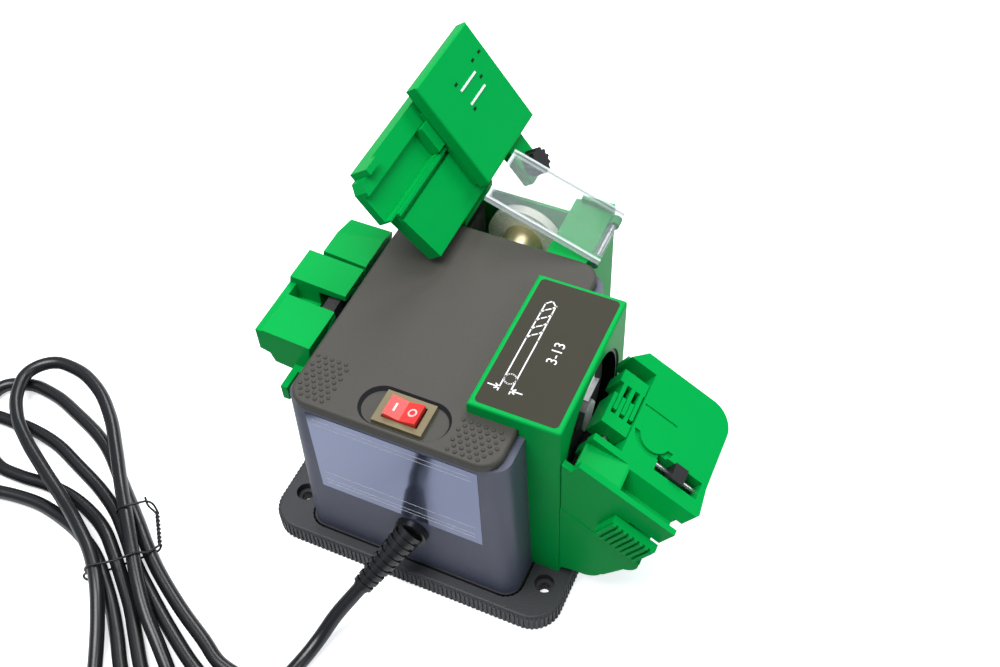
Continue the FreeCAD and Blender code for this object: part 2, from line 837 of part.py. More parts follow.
def wheels():
    for name, axis, a, b, start, end, r in (
            ("drill_wheel", "x", "axle_y", "axle_z", "drill_wheel_left", "drill_wheel_right",
             "drill_wheel_r"),
            ("knife_wheel", "x", "axle_y", "axle_z", "knife_wheel_left", "knife_wheel_right",
             "knife_wheel_r"),
            ("chisel_wheel", "y", "spindle_x", "axle_z", "chisel_wheel_front", "chisel_wheel_back",
             "chisel_wheel_r")):
        disc = rod(name + "_disc", axis, a, b, start, end, r)
        bore = rod(name + "_bore", axis, a, b, "(%s)-1" % start, "(%s)+1" % end, "axle_r")
        node(less(name, disc, bore), name)
    turns = [math.radians(60 * i) for i in range(6)]
    across = math.cos(math.radians(30))
    hexagon = [("nut_half*%.5f" % (math.cos(a) / across),
                "nut_half*%.5f" % (math.sin(a) / across)) for a in turns]
    for name, axis, a, b, ends in (
            ("shaft_nuts", "x", "axle_y", "axle_z",
             (("drill_wheel_right", "drill_wheel_right+nut_long"), ("knife_wheel_left-nut_long",
                                                                    "knife_wheel_left"))),
            ("spindle_nut", "y", "spindle_x", "axle_z",
             (("chisel_wheel_back", "chisel_wheel_back+nut_long"),))):
        nuts = []
        for i, (start, end) in enumerate(ends):
            outline = [("(%s)+%s" % (a, p), "(%s)+%s" % (b, q)) for p, q in hexagon]
            body = prism("%s_%d_hex" % (name, i), axis, outline, start, end)
            hole = rod("%s_%d_hole" % (name, i), axis, a, b, "(%s)-1" % start, "(%s)+1" % end, "axle_r")
            nuts.append(less("%s_%d" % (name, i), body, hole))
        node(nuts[0] if len(nuts) == 1 else group(name, *nuts), name)
    hub = less("spindle_hub", rod("hub_out", "y", "spindle_x", "axle_z", "hub_front", "chisel_wheel_front",
                                  "hub_r"),
               rod("hub_in", "y", "spindle_x", "axle_z", "hub_front-1", "chisel_wheel_front+1", "axle_r"))
    node(hub, "spindle_hub")


def common(name, *items):
    item = doc.addObject("Part::MultiCommon", name)
    item.Shapes = list(items)
    return item


def drill_station(shell):
    ends = ("station_front", "station_back")
    wall = less("station_wall", box("station_block", "room_right", "station_right", *ends, "base_height",
                                    "housing_top"), shell)
    step = box("station_step", "lid_right+fit", "station_right", *ends, "housing_top", "lid_top")
    flange = box("station_flange", "flange_left", "station_right", *ends, "lid_top", "station_top")
    body = join("station_body", wall, step, flange)
    def outer(edge):
        at_wall = edge.BoundBox.XMin > value["station_right"] - 0.1
        return level(edge, value["station_top"]) or (upright(edge) and at_wall)
    body = rounded("station_soft", body, "station_edge", outer)
    at = ("axle_y", "axle_z")
    mouth = rod("mouth", "x", *at, "mouth_floor", "station_right+1", "mouth_r")
    hole = rod("mouth_hole", "x", *at, "room_right", "station_right", "shaft_hole_r")
    inset = ("flange_left+plate_frame", "station_right-plate_frame", "station_front+plate_frame",
             "station_back-plate_frame")
    pocket = box("plate_pocket", *inset, "station_top-plate_deep", "station_top+1")
    node(less("drill_station", body, mouth, hole, pocket), "drill_station")
    node(box("station_plate", *inset, "station_top-plate_deep", "station_top"), "station_plate")
    cup = less("wheel_guard", rod("guard_out", "x", *at, "mouth_floor", "guard_right", "mouth_r"),
               rod("guard_in", "x", *at, "mouth_floor+guard_floor", "guard_right+1", "mouth_r-guard_wall"),
               rod("guard_eye", "x", *at, "mouth_floor-1", "guard_right", "guard_hole_r"))
    node(cup, "wheel_guard")
    strip = box("tab_strip", "tab_left", "tab_left+tab_thin", "tab_front", "tab_back", "tab_low",
                "axle_z+mouth_r")
    lip = box("tab_foot", "tab_left", "tab_left+tab_lip", "tab_front", "tab_back", "tab_low-tab_thin",
              "tab_low")
    reach = rod("tab_reach", "x", *at, "mouth_floor", "station_right+5", "mouth_r-guard_wall")
    node(common("spring_tab", join("tab_bent", strip, lip), reach), "spring_tab")


def slab(name, tilt, d0, d1, y0, y1, n0, n1):
    """Box given in a frame turned about the Y axis, standing in the common frame."""
    item = doc.addObject("Part::Box", name)
    item.Placement = FreeCAD.Placement(Vec(), Rot(Vec(0, 1, 0), value[tilt]))
    item.setExpression("Placement.Rotation.Angle", of_sheet(tilt))
    bind(item, Length="(%s)-(%s)" % (d1, d0), Width="(%s)-(%s)" % (y1, y0), Height="(%s)-(%s)" % (n1, n0))
    return seat(item, "(%s)*cos(%s)+(%s)*sin(%s)" % (d0, tilt, n0, tilt), y0,
                "(%s)*cos(%s)-(%s)*sin(%s)" % (n0, tilt, d0, tilt))


def drill_cradle():
    outline = [("station_right", "cradle_high"), ("toe_x", "toe_z"), ("chin_x", "chin_z"),
               ("belly_x", "belly_z"),
               ("hip_x", "hip_z"), ("knee_x", "knee_z"), ("station_right", "cradle_low")]
    rough = prism("cradle_rough", "y", outline, "station_front", "cradle_back")
    lobes = [rod("lobe_a", "y", "lobe_x", "lobe_z", "station_front", "cradle_back", "lobe_r"),
             rod("lobe_b", "y", "lobe_two_x", "lobe_two_z", "station_front", "cradle_back", "lobe_two_r")]
    above = slab("cradle_above", "holder_tilt", "-toe_x", "2*toe_x", "station_front-1", "cradle_back+1",
                 "cradle_top_n", "cradle_top_n+toe_z")
    hole = rod("cradle_hole", "z", "pin_d", "pin_y", "pin_low", "cradle_top_n+5", "pin_r")
    turned = group("cradle_hole_turned", hole)
    turned.Placement = FreeCAD.Placement(Vec(), Rot(Vec(0, 1, 0), value["holder_tilt"]))
    turned.setExpression("Placement.Rotation.Angle", of_sheet("holder_tilt"))
    inside = box("cradle_inside", "flange_left", "station_right", "station_front-1", "cradle_back+1",
                 "0", "station_top")
    node(less("drill_cradle", join("cradle_body", rough, *lobes), above, turned, inside), "drill_cradle")
    pin = join("pivot_pin_body", rod("pin_stem", "z", "pin_d", "pin_y", "pin_low", "pin_high", "pin_r"),
               rod("pin_core", "z", "pin_d", "pin_y", "pin_low", "pin_high", "pin_r/2"))
    node(pin, "pivot_pin", "holder_tilt")


def drill_holder():
    low = "cradle_top_n+fit"
    outline = [("back_left", "holder_back"), ("holder_right", "holder_back"), ("holder_right",
                                                                               "shoulder_y"),
               ("nose_d", "nose_y"), ("heel_d", "heel_y"), ("heel_d", "holder_front"), ("holder_left",
                                                                                        "holder_front"),
               ("holder_left", "window_back")]
    plate = prism("holder_plate", "z", outline, "plate_low_n", "plate_top_n")
    plate = rounded("holder_plate_round", plate, "corner_r",
                    lambda e: upright(e) and e.BoundBox.XMin > value["holder_right"] - 0.1
                    and e.BoundBox.YMin > value["holder_back"] - 0.1)
    edge = "(station_right+fit-(%s)*sin(holder_tilt))/cos(holder_tilt)"
    front = [(edge % "plate_low_n", "plate_low_n"), ("rail_drop_d", "plate_low_n"), ("rail_drop_d",
                                                                                     "rail_drop_n"),
             ("skirt_d", low), (edge % low, low)]
    walls = [
        prism("holder_front_wall", "y", front, "holder_front", "holder_front+holder_wall"),
        prism("holder_back_wall", "y", [("back_left", "plate_low_n"), ("back_right", "plate_low_n"),
                                        ("back_right", low), ("back_foot", low)],
              "holder_back-holder_wall", "holder_back"),
        box("holder_end_wall", "holder_right-holder_wall", "holder_right", "end_front",
            "holder_back-corner_r", low, "plate_low_n"),
        box("holder_frame", "holder_left+2*fit", "frame_right", "window_front-frame_wide",
            "window_back+frame_wide", "frame_low_n", "plate_low_n"),
        box("holder_slot_box", "slot_left-holder_wall", "holder_right", "slot_front-holder_wall",
            "slot_back+holder_wall", "slot_floor_n-holder_wall", "plate_low_n"),
        box("holder_groove_box", "groove_d-holder_wall", "heel_d", "holder_front",
            "groove_back+holder_wall",
            "groove_n-holder_wall", "plate_low_n"),
        rod("holder_boss", "z", "pin_d", "pin_y", low, "plate_low_n", "boss_out_r"),
    ]
    groove = prism("holder_groove", "x", [("groove_front", "plate_top_n+1"), ("groove_back",
                                                                              "plate_top_n+1"),
                                         ("groove_back-groove_slant",
                                          "groove_n"), ("groove_front+groove_slant", "groove_n")],
                   "groove_d", "nose_d+1")
    ramp = prism("holder_ramp", "y", [("holder_left-1", "plate_top_n+1"), ("ramp_end", "plate_top_n+1"),
                                      ("ramp_end", "plate_top_n"),
                                      ("holder_left-1", "plate_top_n-ramp_drop")],
                 "holder_front+holder_wall", "window_front-holder_wall")
    near = box("ring_near", "pin_d-ring_out", "pin_d+ring_out", "pin_y-ring_out", "pin_y-ring_in/3",
               "plate_top_n-ring_deep", "plate_top_n+1")
    round_slot = less("ring_round", rod("ring_rim", "z", "pin_d", "pin_y", "plate_top_n-ring_deep",
                                        "plate_top_n+1", "ring_out"),
                      rod("ring_core", "z", "pin_d", "pin_y", "plate_top_n-ring_deep-1", "plate_top_n+2",
                          "ring_in"))
    ring = common("holder_ring", round_slot, near)
    cuts = [
        box("holder_window", "0", "window_right", "window_front", "window_back", "frame_low_n-1",
            "plate_top_n+1"),
        box("holder_slot", "slot_left", "slot_right", "slot_front", "slot_back", "slot_floor_n",
            "plate_top_n+1"),
        box("holder_mark", "mark_left", "mark_right", "mark_y-mark_wide/2", "mark_y+mark_wide/2",
            "plate_top_n-mark_deep", "plate_top_n+1"),
        rod("holder_pin_bore", "z", "pin_d", "pin_y", low + "-1", "pin_high+fit", "pin_r+fit"),
        rod("holder_jaw_bore", "y", "jaw_rod_d", "jaw_rod_n", "jaw_rod_front", "jaw_rod_back", "jaw_rod_r"),
        groove,
        ramp,
        ring,
        box("holder_stem_gap", "stem_d-2*fit", "stem_d+stem_wide+stem_room", "holder_front-1",
            "holder_front+holder_wall+1",
            "arm_n-2*fit", "arm_n+arm_thick+2*fit"),
    ]
    for i, y in enumerate(("slot_front+rod_inset", "slot_back-rod_inset")):
        cuts.append(rod("holder_rod_bore_%d" % i, "x", y, "rod_n", "slot_left-rod_in", "slot_right+rod_in",
                        "rod_r"))
    node(less("drill_holder", join("holder_body", plate, *walls), *cuts), "drill_holder", "holder_tilt")
    rods = [rod("stop_rod_%d" % i, "x", y, "rod_n", "slot_left-rod_in", "slot_right+rod_in", "rod_r")
            for i, y in enumerate(("slot_front+rod_inset", "slot_back-rod_inset"))]
    node(group("stop_rods", *rods), "stop_rods", "holder_tilt")
    pin = rod("jaw_rod_stem", "y", "jaw_rod_d", "jaw_rod_n", "jaw_rod_front", "jaw_rod_back", "jaw_rod_r")
    core = rod("jaw_rod_core", "y", "jaw_rod_d", "jaw_rod_n", "jaw_rod_front", "jaw_rod_back",
               "jaw_rod_r/2")
    node(join("jaw_rod", pin, core), "jaw_rod", "holder_tilt")


def jaws():
    ends = ("jaw_low_n", "jaw_top_n")
    front = [box("jaw_front_root", "jaw_left", "window_right-fit", "jaw_front", "jaw_front+jaw_root",
                 *ends)]
    back = [box("jaw_back_root", "jaw_left", "window_right-fit", "jaw_back-jaw_root", "jaw_back", *ends)]
    for i in range(3):
        x = "jaw_left+%d*finger_step" % i
        front.append(box("jaw_front_finger_%d" % i, x, x + "+finger_wide-fit", "jaw_front", "finger_tip",
                         *ends))
        x = x + "+finger_step/2"
        back.append(box("jaw_back_finger_%d" % i, x, x + "+finger_wide-fit", "finger_tip_two", "jaw_back",
                        *ends))
    bore = ("jaw_rod_d", "jaw_rod_n", "jaw_front-2", "jaw_back+2", "jaw_rod_r+fit")
    node(less("jaw_front", join("jaw_front_body", *front), rod("jaw_front_bore", "y", *bore)), "jaw_front",
         "holder_tilt")
    node(less("jaw_back", join("jaw_back_body", *back), rod("jaw_back_bore", "y", *bore)), "jaw_back",
         "holder_tilt")
    block = box("stop_block", "stop_left", "stop_right", "slot_front+fit", "slot_back-fit", "stop_low_n",
                "stop_top_n")
    bores = [rod("stop_bore_%d" % i, "x", y, "rod_n", "slot_left", "slot_right", "rod_r+fit")
             for i, y in enumerate(("slot_front+rod_inset", "slot_back-rod_inset"))]
    node(less("drill_stop", block, *bores), "drill_stop", "holder_tilt")
    pad = box("grip_pad", "grip_left", "grip_right", "grip_front+grip_rib", "holder_front-fit",
              "grip_low_n", "grip_high_n")
    arms = [
        box("grip_leg", "arm_d", "arm_d+arm_wide", "jaw_front", "jaw_front+arm_thick", "arm_n",
            "jaw_low_n"),
        box("grip_link", "arm_d", "arm_d+arm_wide", "arm_y", "jaw_front+arm_thick", "arm_n",
            "arm_n+arm_thick"),
        box("grip_arm", "arm_d", "stem_d+stem_wide", "arm_y", "arm_y+arm_thick", "arm_n",
            "arm_n+arm_thick"),
        box("grip_stem", "stem_d", "stem_d+stem_wide", "holder_front-fit-1", "arm_y+arm_thick", "arm_n",
            "arm_n+arm_thick"),
    ]
    ribs = []
    for i in range(int(value["grip_ribs"])):
        x = "grip_left+(%d+0.25)*(grip_right-grip_left)/grip_ribs" % i
        ribs.append(box("grip_rib_%d" % i, x, x + "+(grip_right-grip_left)/grip_ribs/2", "grip_front",
                        "holder_front-fit",
                        "grip_low_n", "grip_high_n"))
    node(join("thumb_grip", pad, *arms, *ribs), "thumb_grip", "holder_tilt")


def knife_station(shell):
    crown = "hump_top-crown_drop"
    trough = prism("pod_trough", "y", [("pod_right", "trough_top"), ("floor_right", "pod_low"),
                                       ("floor_left", "floor_z"),
                                  ("trough_left", "trough_top")], "pod_front", "pod_back")
    front = prism("pod_front_hump", "y", [("pod_right", crown), ("front_left+1", "hump_top"),
                                          ("front_left", "hump_top-hump_drop"),
                                          ("floor_left", "floor_z"), ("floor_right",
                                                                      "pod_low")], "pod_front", "notch_front")
    mid = prism("pod_mid_hump", "y", [("pod_right", crown), ("mid_left+1", "hump_top"),
                                      ("mid_left", "hump_top-hump_drop"),
                                      ("floor_left-2", "floor_z"), ("floor_right",
                                                                    "pod_low")], "notch_back", "slit_front")
    rear = prism("pod_rear_hump", "y", [("pod_right", crown), ("rear_left+1", "hump_top"),
                                        ("rear_left", "hump_top-hump_drop"), ("floor_left+1", "floor_z+1"),
                                        ("floor_right", "pod_low")], "slit_back", "pod_back")
    slope = prism("pod_rear_slope", "x", [("slope_y", "hump_top"), ("pod_back+1", "hump_top-slope_drop"),
                                          ("pod_back+1", "hump_top+1"), ("slope_y", "hump_top+1")],
                  "strip_left-1", "pod_right+1")
    strip = box("pod_strip", "strip_left", "strip_left+strip_thick", "strip_front", "notch_back",
                "strip_low", "strip_top")
    link = prism("pod_strip_link", "y", [("strip_left", "strip_low"), ("strip_left", "notch_floor"),
                                         ("link_right", "notch_floor"),
                                     ("link_right", "floor_z")], "strip_front", "notch_back")
    bridge = box("pod_bridge", "rear_left", "pod_right", "slit_front-1", "slit_back+1", "gap_floor",
                 "slit_floor")
    cover = rod("pod_cover", "x", "axle_y", "axle_z", "cover_left", "-room_left", "cover_r")
    foot = box("pod_foot", "foot_left", "-room_left", "foot_front", "pod_front", "foot_low", "foot_top")
    body = join("pod_body", trough, front, mid, less("pod_rear", rear, slope), strip, link, bridge, cover,
                foot)
    well = rod("pod_well", "x", "axle_y", "axle_z", "well_left", "-room_left", "well_r")
    slot = box("pod_foot_slot", "foot_left+foot_wall", "foot_left+foot_wall+foot_slot_wide",
               "foot_front-1", "pod_front-foot_wall", "foot_low-1", "foot_top+1")
    notch = box("pod_notch", "strip_left+strip_thick", "pod_right+2", "notch_front", "notch_back",
                "notch_floor", "hump_top+1")
    slit = box("pod_slit", "strip_left-1", "pod_right+2", "slit_front", "slit_back", "slit_floor",
               "hump_top+1")
    gap = box("pod_gap", "pod_right", "-room_left", "pod_front-1", "pod_back+1", "gap_floor", "hump_top+1")
    node(less("knife_station", body, shell, well, slot, notch, slit, gap), "knife_station")


def rear_station():
    box_low = box("rear_box", "-rear_half", "rear_half", "back_wall", "rear_back", "base_height",
                  "housing_top")
    box_high = box("rear_head", "-rear_half", "rear_half", "lid_back+fit", "rear_back", "housing_top",
                   "rear_top")
    stop = box("rear_stop", "stop_left_x", "rear_half", "stop_front_y", "rear_back", "rear_top",
               "stop_top_z")
    ears = []
    for i, y in enumerate(("ear_front", "ear_back-ear_wide")):
        ends = (y, y + "+ear_wide")
        ears.append(rod("ear_eye_%d" % i, "y", "hinge_x", "hinge_z", *ends, "ear_r"))
        ears.append(box("ear_web_%d" % i, "rear_half", "hinge_x", *ends, "hinge_z-ear_r",
                        "hinge_z+ear_r/2"))
    under = "(bed_low_n-(%s)*sin(bed_tilt))/cos(bed_tilt)"
    stem = prism("bed_stem", "y", [("stem_left", "rear_top"), ("stem_right", "rear_top"),
                                   ("stem_right", under % "stem_right"), ("stem_left", under % "stem_left")],
                 "stem_front", "stem_back")
    body = join("rear_body", box_low, box_high, stop, stem, *ears)
    window = box("rear_window", "pit_left", "pit_right", "pit_back-1", "rear_back+1", "back_open_z",
                 "rear_top+1")
    pit = box("rear_pit", "pit_left", "pit_right", "pit_front", "pit_back", "pit_floor", "rear_top+1")
    clear = box("rear_pit_stem", "stem_right", "pit_right", "pit_front", "pit_back", "rear_top-1",
                "rear_top+rear_half")
    hole = rod("rear_hole", "y", "spindle_x", "axle_z", "back_wall-1", "pit_front+1", "hub_r+hub_gap")
    eye = rod("rear_eye", "y", "hinge_x", "hinge_z", "ear_front-1", "ear_back+1", "hinge_r")
    roof = box("rear_roof", "stem_left", "stem_right", "stem_front", "stem_back", "rear_top-roof_thick",
               "rear_top")
    node(join("rear_station", less("rear_cut", body, pit, hole, eye, clear, window), roof), "rear_station")
    node(rod("shield_pin", "y", "hinge_x", "hinge_z", "ear_front", "ear_back", "hinge_r"), "shield_pin")
    node(box("pit_guard", "guard_left", "guard_end", "guard_front_y", "guard_back_y", "pit_floor",
             "guard_top"), "pit_guard")


def chisel_bed():
    outline = [("bed_high", "bed_back"), ("bed_high", "lip_front"), ("bed_high+nook_in", "lip_front"),
               ("bed_high+nook_in", "nook_y"),
               ("bed_high+round_in", "ledge_front"), ("ridge_high", "ledge_front"), ("ridge_high",
                                                                                     "tongue_left"),
               ("bed_foot", "tongue_right"), ("bed_foot", "bed_back")]
    plate = prism("bed_plate", "z", outline, "bed_low_n", "bed_n")
    lip = box("bed_lip", "bed_high", "bed_high+lip_wide", "lip_front", "lip_front+lip_long", "bed_low_n",
              "bed_n+lip_rise")
    ridge = box("bed_ridge", "ridge_high", "ridge_high+ridge_wide", "tongue_left", "bed_back", "bed_low_n",
                "bed_n+ridge_rise")
    groove = box("bed_groove", "groove_high", "groove_low", "ledge_front-1", "bed_back+1",
                 "groove_bottom_n", "bed_n+2")
    band = box("bed_band", "band_high", "band_low", "ledge_front-1", "bed_back+1", "bed_n-band_deep",
               "bed_n+1")
    node(less("chisel_bed", join("bed_body", plate, lip, ridge), groove, band), "chisel_bed", "bed_tilt")


def carriage():
    slide = box("slide_block", "slide_high", "slide_low", "slide_front", "slide_back", "bed_n+fit",
                "slide_n")
    rib = box("slide_rib", "band_high+fit", "band_low-fit", "rib_front", "slide_back",
              "bed_n-band_deep+fit", "slide_n")
    relief = box("slide_relief", "ridge_high-fit", "ridge_high+ridge_wide+fit", "slide_front-1",
                 "slide_back+1", "bed_n",
                 "bed_n+ridge_rise+fit")
    ear = box("slide_ear", "slide_low-ear_root", "ear_low", "ear_y0", "ear_y1", "bed_n+fit", "slide_n")
    sides = tuple(enumerate(("guide_y0", "guide_y1")))
    holes = [rod("slide_hole_%d" % i, "z", "guide_b", y, "guide_n0", "slide_n+1", "guide_r") for i,
             y in sides]
    screw_hole = rod("slide_screw_hole", "z", "knob_b", "knob_y", "bed_n", "slide_n+1", "screw_r+fit")
    node(less("chisel_carriage", join("slide_body", slide, rib, ear), *holes, screw_hole, relief),
         "chisel_carriage", "bed_tilt")
    pins = [rod("guide_pin_%d" % i, "z", "guide_b", y, "guide_n0", "guide_n1", "guide_r") for i, y in sides]
    node(group("guide_pins", *pins), "guide_pins", "bed_tilt")
    plate = box("clamp_block", "clamp_high", "clamp_low", "clamp_front", "clamp_back", "clamp_n0",
                "clamp_n1")
    plate = rounded("clamp_soft", plate, "clamp_edge", lambda e: level(e, value["clamp_n1"]))
    tongue = box("clamp_ear", "clamp_low-ear_root", "ear_low", "ear_y0", "ear_y1", "clamp_n0", "ear_n1")
    bores = [rod("clamp_bore_%d" % i, "z", "guide_b", y, "clamp_n0-1", "guide_n1+fit", "guide_r+fit")
             for i, y in sides]
    bores.append(rod("clamp_screw_bore", "z", "knob_b", "knob_y", "clamp_n0-1", "ear_n1+1", "screw_r+fit"))
    bores.append(rod("clamp_knob_room", "z", "knob_b", "knob_y", "ear_n1", "clamp_n1+1", "knob_r+2*fit"))
    node(less("clamp_plate", join("clamp_body", plate, tongue), *bores), "clamp_plate", "bed_tilt")
    notches = []
    count = int(value["knob_notches"])
    for i in range(count):
        a = 2 * math.pi * i / count
        notches.append(rod("knob_notch_%d" % i, "z", "knob_b+knob_r*%.5f" % math.cos(a),
                           "knob_y+knob_r*%.5f" % math.sin(a),
                           "knob_n0-1", "knob_n1+1", "knob_notch_r"))
    grip = less("knob_grip", rod("knob_disc", "z", "knob_b", "knob_y", "knob_n0+fit", "knob_n1", "knob_r"),
                *notches)
    node(join("clamp_knob", grip, rod("knob_screw", "z", "knob_b", "knob_y", "screw_n0", "knob_n1-1",
                                      "screw_r")), "clamp_knob", "bed_tilt")


def shield():
    top = "shield_lift+shield_thick"
    plate = box("shield_plate", "-shield_long", "plate_end", "shield_front", "shield_back", "shield_lift",
                top)
    items = [plate]
    for i, y in enumerate(("ear_front+ear_wide+fit", "ear_back-ear_wide-fit-lug_wide")):
        items.append(rod("shield_barrel_%d" % i, "y", "0", "0", y, y + "+lug_wide", "lug_r"))
        items.append(box("shield_lug_%d" % i, "-lug_half", "plate_end", y, y + "+lug_wide", "0", top))
    for i, y in enumerate(("shield_front", "shield_back-hem_wide")):
        items.append(box("shield_hem_%d" % i, "-shield_long", "plate_end", y, y + "+hem_wide", top,
                         top + "+hem_high"))
    bore = rod("shield_bore", "y", "0", "0", "shield_front", "shield_back", "hinge_r+fit")
    item = less("shield", join("shield_body", *items), bore)
    node(item, "shield")
    item.Placement = FreeCAD.Placement(Vec(), Rot(Vec(0, 1, 0), value["shield_rest"]))
    item.setExpression("Placement.Rotation.Angle", of_sheet("shield_rest"))
    seat(item, "hinge_x", "0", "hinge_z")


def boot():
    root = Vec(value["cord_x"], value["boot_root_y"], value["cord_z"])
    way = Vec(value["boot_x"], value["boot_y"], value["boot_z"]) - root
    count = int(value["boot_ribs"])
    outline = [("0", "0")]
    for i in range(count):
        r = "boot_root_r+(boot_tip_r-boot_root_r)*%d/boot_ribs" % i
        z = way.Length * i / count
        step = way.Length / count
        for sunk, share in (("", 0), ("", 0.55), ("-boot_groove", 0.6), ("-boot_groove", 0.95)):
            outline.append((r + sunk, "%.4f" % (z + share * step)))
    outline += [("cord_r", "%.4f" % way.Length), ("0", "%.4f" % way.Length)]
    taper = spun("boot_taper", outline)
    taper.Placement = FreeCAD.Placement(root, Rot(Vec(0, 0, 1), way))
    collar = rod("boot_collar", "y", "cord_x", "cord_z", "-front_foot-collar_long", "-front_foot",
                 "collar_r")
    neck = rod("boot_neck", "y", "cord_x", "cord_z", "-front_foot-1", "neck_in", "neck_r")
    wall = box("boot_wall", "cord_x-2*collar_r", "cord_x+2*collar_r", "-front_foot", "neck_in",
               "cord_z-2*collar_r", "cord_z+2*collar_r")
    node(join("cord_boot", less("boot_outside", join("boot_grip", taper, collar), wall), neck), "cord_boot")
    return root + way, way.normalize()


def disc(centre, way):
    return Part.Wire(Part.makeCircle(value["cord_r"], centre, way))


def tube(label, wire, start, way):
    """Round cord along a smooth line of straight runs and arcs."""
    item = doc.addObject("Part::Feature", label)
    item.Shape = wire.makePipeShell([disc(start, way)], True, False)
    share = item.Shape.Volume / (math.pi * value["cord_r"] ** 2 * wire.Length)
    print("%s length %.1f, volume share %.4f" % (label, wire.Length, share))
    node(item, label)


def eased(points):
    """Straight runs joined by tangent arcs."""
    edges = []
    last = points[0]
    for a, b, c in zip(points, points[1:], points[2:]):
        one = (a - b).normalize()
        two = (c - b).normalize()
        half = (math.pi - one.getAngle(two)) / 2
        reach = 0.45 * min((a - b).Length, (c - b).Length)
        radius = reach / math.tan(half)
        print("cord bend radius %.1f" % radius)
        start = b + one * reach
        end = b + two * reach
        inward = (one + two).normalize()
        middle = b + inward * (radius / math.cos(half) - radius)
        edges += [Part.LineSegment(last, start).toShape(), Part.Arc(start, middle, end).toShape()]
        last = end
    edges.append(Part.LineSegment(last, points[-1]).toShape())
    return Part.Wire(edges)


def half_arc(a, way, b):
    """Arc from a to b that leaves a in the given direction."""
    chord = b - a
    across = chord - way * chord.dot(way)
    if across.Length < 1e-4 * chord.Length:
        return Part.LineSegment(a, b).toShape()
    side = across.normalize()
    radius = chord.Length ** 2 / (2 * chord.dot(side))
    centre = a + side * radius
    middle = centre + ((a + b) * 0.5 - centre).normalize() * radius
    if chord.dot(way) < 0:
        middle = centre * 2 - middle
    return Part.Arc(a, middle, b).toShape()


def biarc(a, way_a, b, way_b):
    """Two arcs between two points with given directions."""
    span = b - a
    total = way_a + way_b
    slack = 2 * (1 - way_a.dot(way_b))
    if slack < 1e-9:
        side = 2 * span.dot(way_b) * 2
        d = span.dot(span) / side
    else:
        d = (-span.dot(total) + math.sqrt(span.dot(total) ** 2 + slack * span.dot(span))) / slack
    joint = (a + way_a * d + b - way_b * d) * 0.5
    back = half_arc(b, way_b * -1, joint)
    return [half_arc(a, way_a, joint), back]


# Free cord between the boot and the hank, in the hank's own frame
LANDING = (-84, 64.4, 5.2)
ENTRY = (-88.6, 55.1, 3.3)

# The tied hank, strand by strand: along it, across it and height, from the machine's side to the plug
HANK = (
    (-92.5, 47, 3.3), (-77, 24.5, 3.3), (-60, 20, 3.3), (-44, 16, 3.3), (-11, 11, 4.8), (6, 10.6, 5.1),
    (29, 9.4, 3.3), (59, 7, 3.3), (80, 0, 3.3), (98, -8, 3.3), (110, -18, 3.3), (114, -32, 3.3),
    (104, -39, 3.3), (92, -31, 3.3), (81, -21.5, 3.3), (68, -13.5, 3.3), (51, -7, 3.3),
    (32, -0.5, 3.3), (18, 2.6, 4.1), (4, 3.6, 5.1), (-12, 3.8, 4.7), (-33, 6.2, 3.3), (-50, 8.8, 3.3),
    (-72, 13.4, 3.3), (-92, 20.5, 3.3), (-108, 23.5, 3.3), (-119.5, 12.5, 3.3), (-109, 1.4, 3.3),
    (-92, 1.6, 3.3), (-72, 3, 3.3), (-57, 2.6, 5.2), (-41, 2, 8.1), (-26, 3, 10.4), (-10, 5, 12),
    (6, 7, 12.2), (29, 9.5, 10.4), (46, 12, 10.4), (66, 14.2, 10.4), (85, 13, 10.4), (102, 6.5, 10.4),
    (112, -4, 10.4), (111, -16, 10.4), (101, -23, 10.4), (87, -26, 10.4), (71, -25, 10.4),
    (52, -21.5, 10.4), (31, -17, 10.4), (13, -13.8, 11.7), (-5, -12, 12.2), (-19, -13.3, 11.1),
    (-33, -17, 8.3), (-47, -22, 5), (-60, -27, 3.3), (-78, -35, 3.3), (-94, -38.5, 3.3),
    (-105, -27.5, 3.3), (-94, -16.6, 3.3), (-76, -16, 3.3), (-57, -14.6, 3.3), (-43, -12.4, 3.3),
    (-29, -11, 3.3), (-15, -10.6, 4.5), (-1, -11.2, 5.2), (12, -14.5, 4.7), (25, -20, 3.3),
    (38, -28, 3.3), (47, -36.5, 3.3), (56, -47, 3.3), (67, -60, 3.3), (82, -69, 3.3), (97, -64.5, 3.3),
    (97.5, -49.5, 3.3), (83, -44, 3.3), (68, -41, 3.3), (57, -32.5, 3.3), (47, -22.5, 3.3),
    (35, -13.6, 3.3), (22, -7.6, 3.6), (9, -4.2, 4.9), (-5, -3.4, 5.1), (-19, -3.4, 4),
    (-33, -3.8, 3.3), (-47, -5.4, 3.3), (-62, -7, 3.3), (-84, -7.2, 3.3), (-103, -8, 3.3),
    (-118, -22, 3.3), (-114, -45, 3.6), (-107, -68, 6.2), (-109, -92, 6.8),
)


def hank_point(along, across, height):
    up = Vec(math.cos(math.radians(value["hank_turn"])), math.sin(math.radians(value["hank_turn"])), 0)
    side = Vec(up.y, -up.x, 0)
    return Vec(value["hank_x"], value["hank_y"], height) + up * along + side * across


def headings(points, first):
    """Direction at each point, tangent to the circle through it and its two neighbours."""
    ways = [first]
    for a, b, c in zip(points, points[1:], points[2:]):
        share = (c - b).Length / (b - a).Length
        ways.append(((b - a) * share + (c - b) * (1 / share)).normalize())
    level_end = points[-1] - points[-2]
    ways.append(Vec(level_end.x, level_end.y, 0).normalize())
    return ways


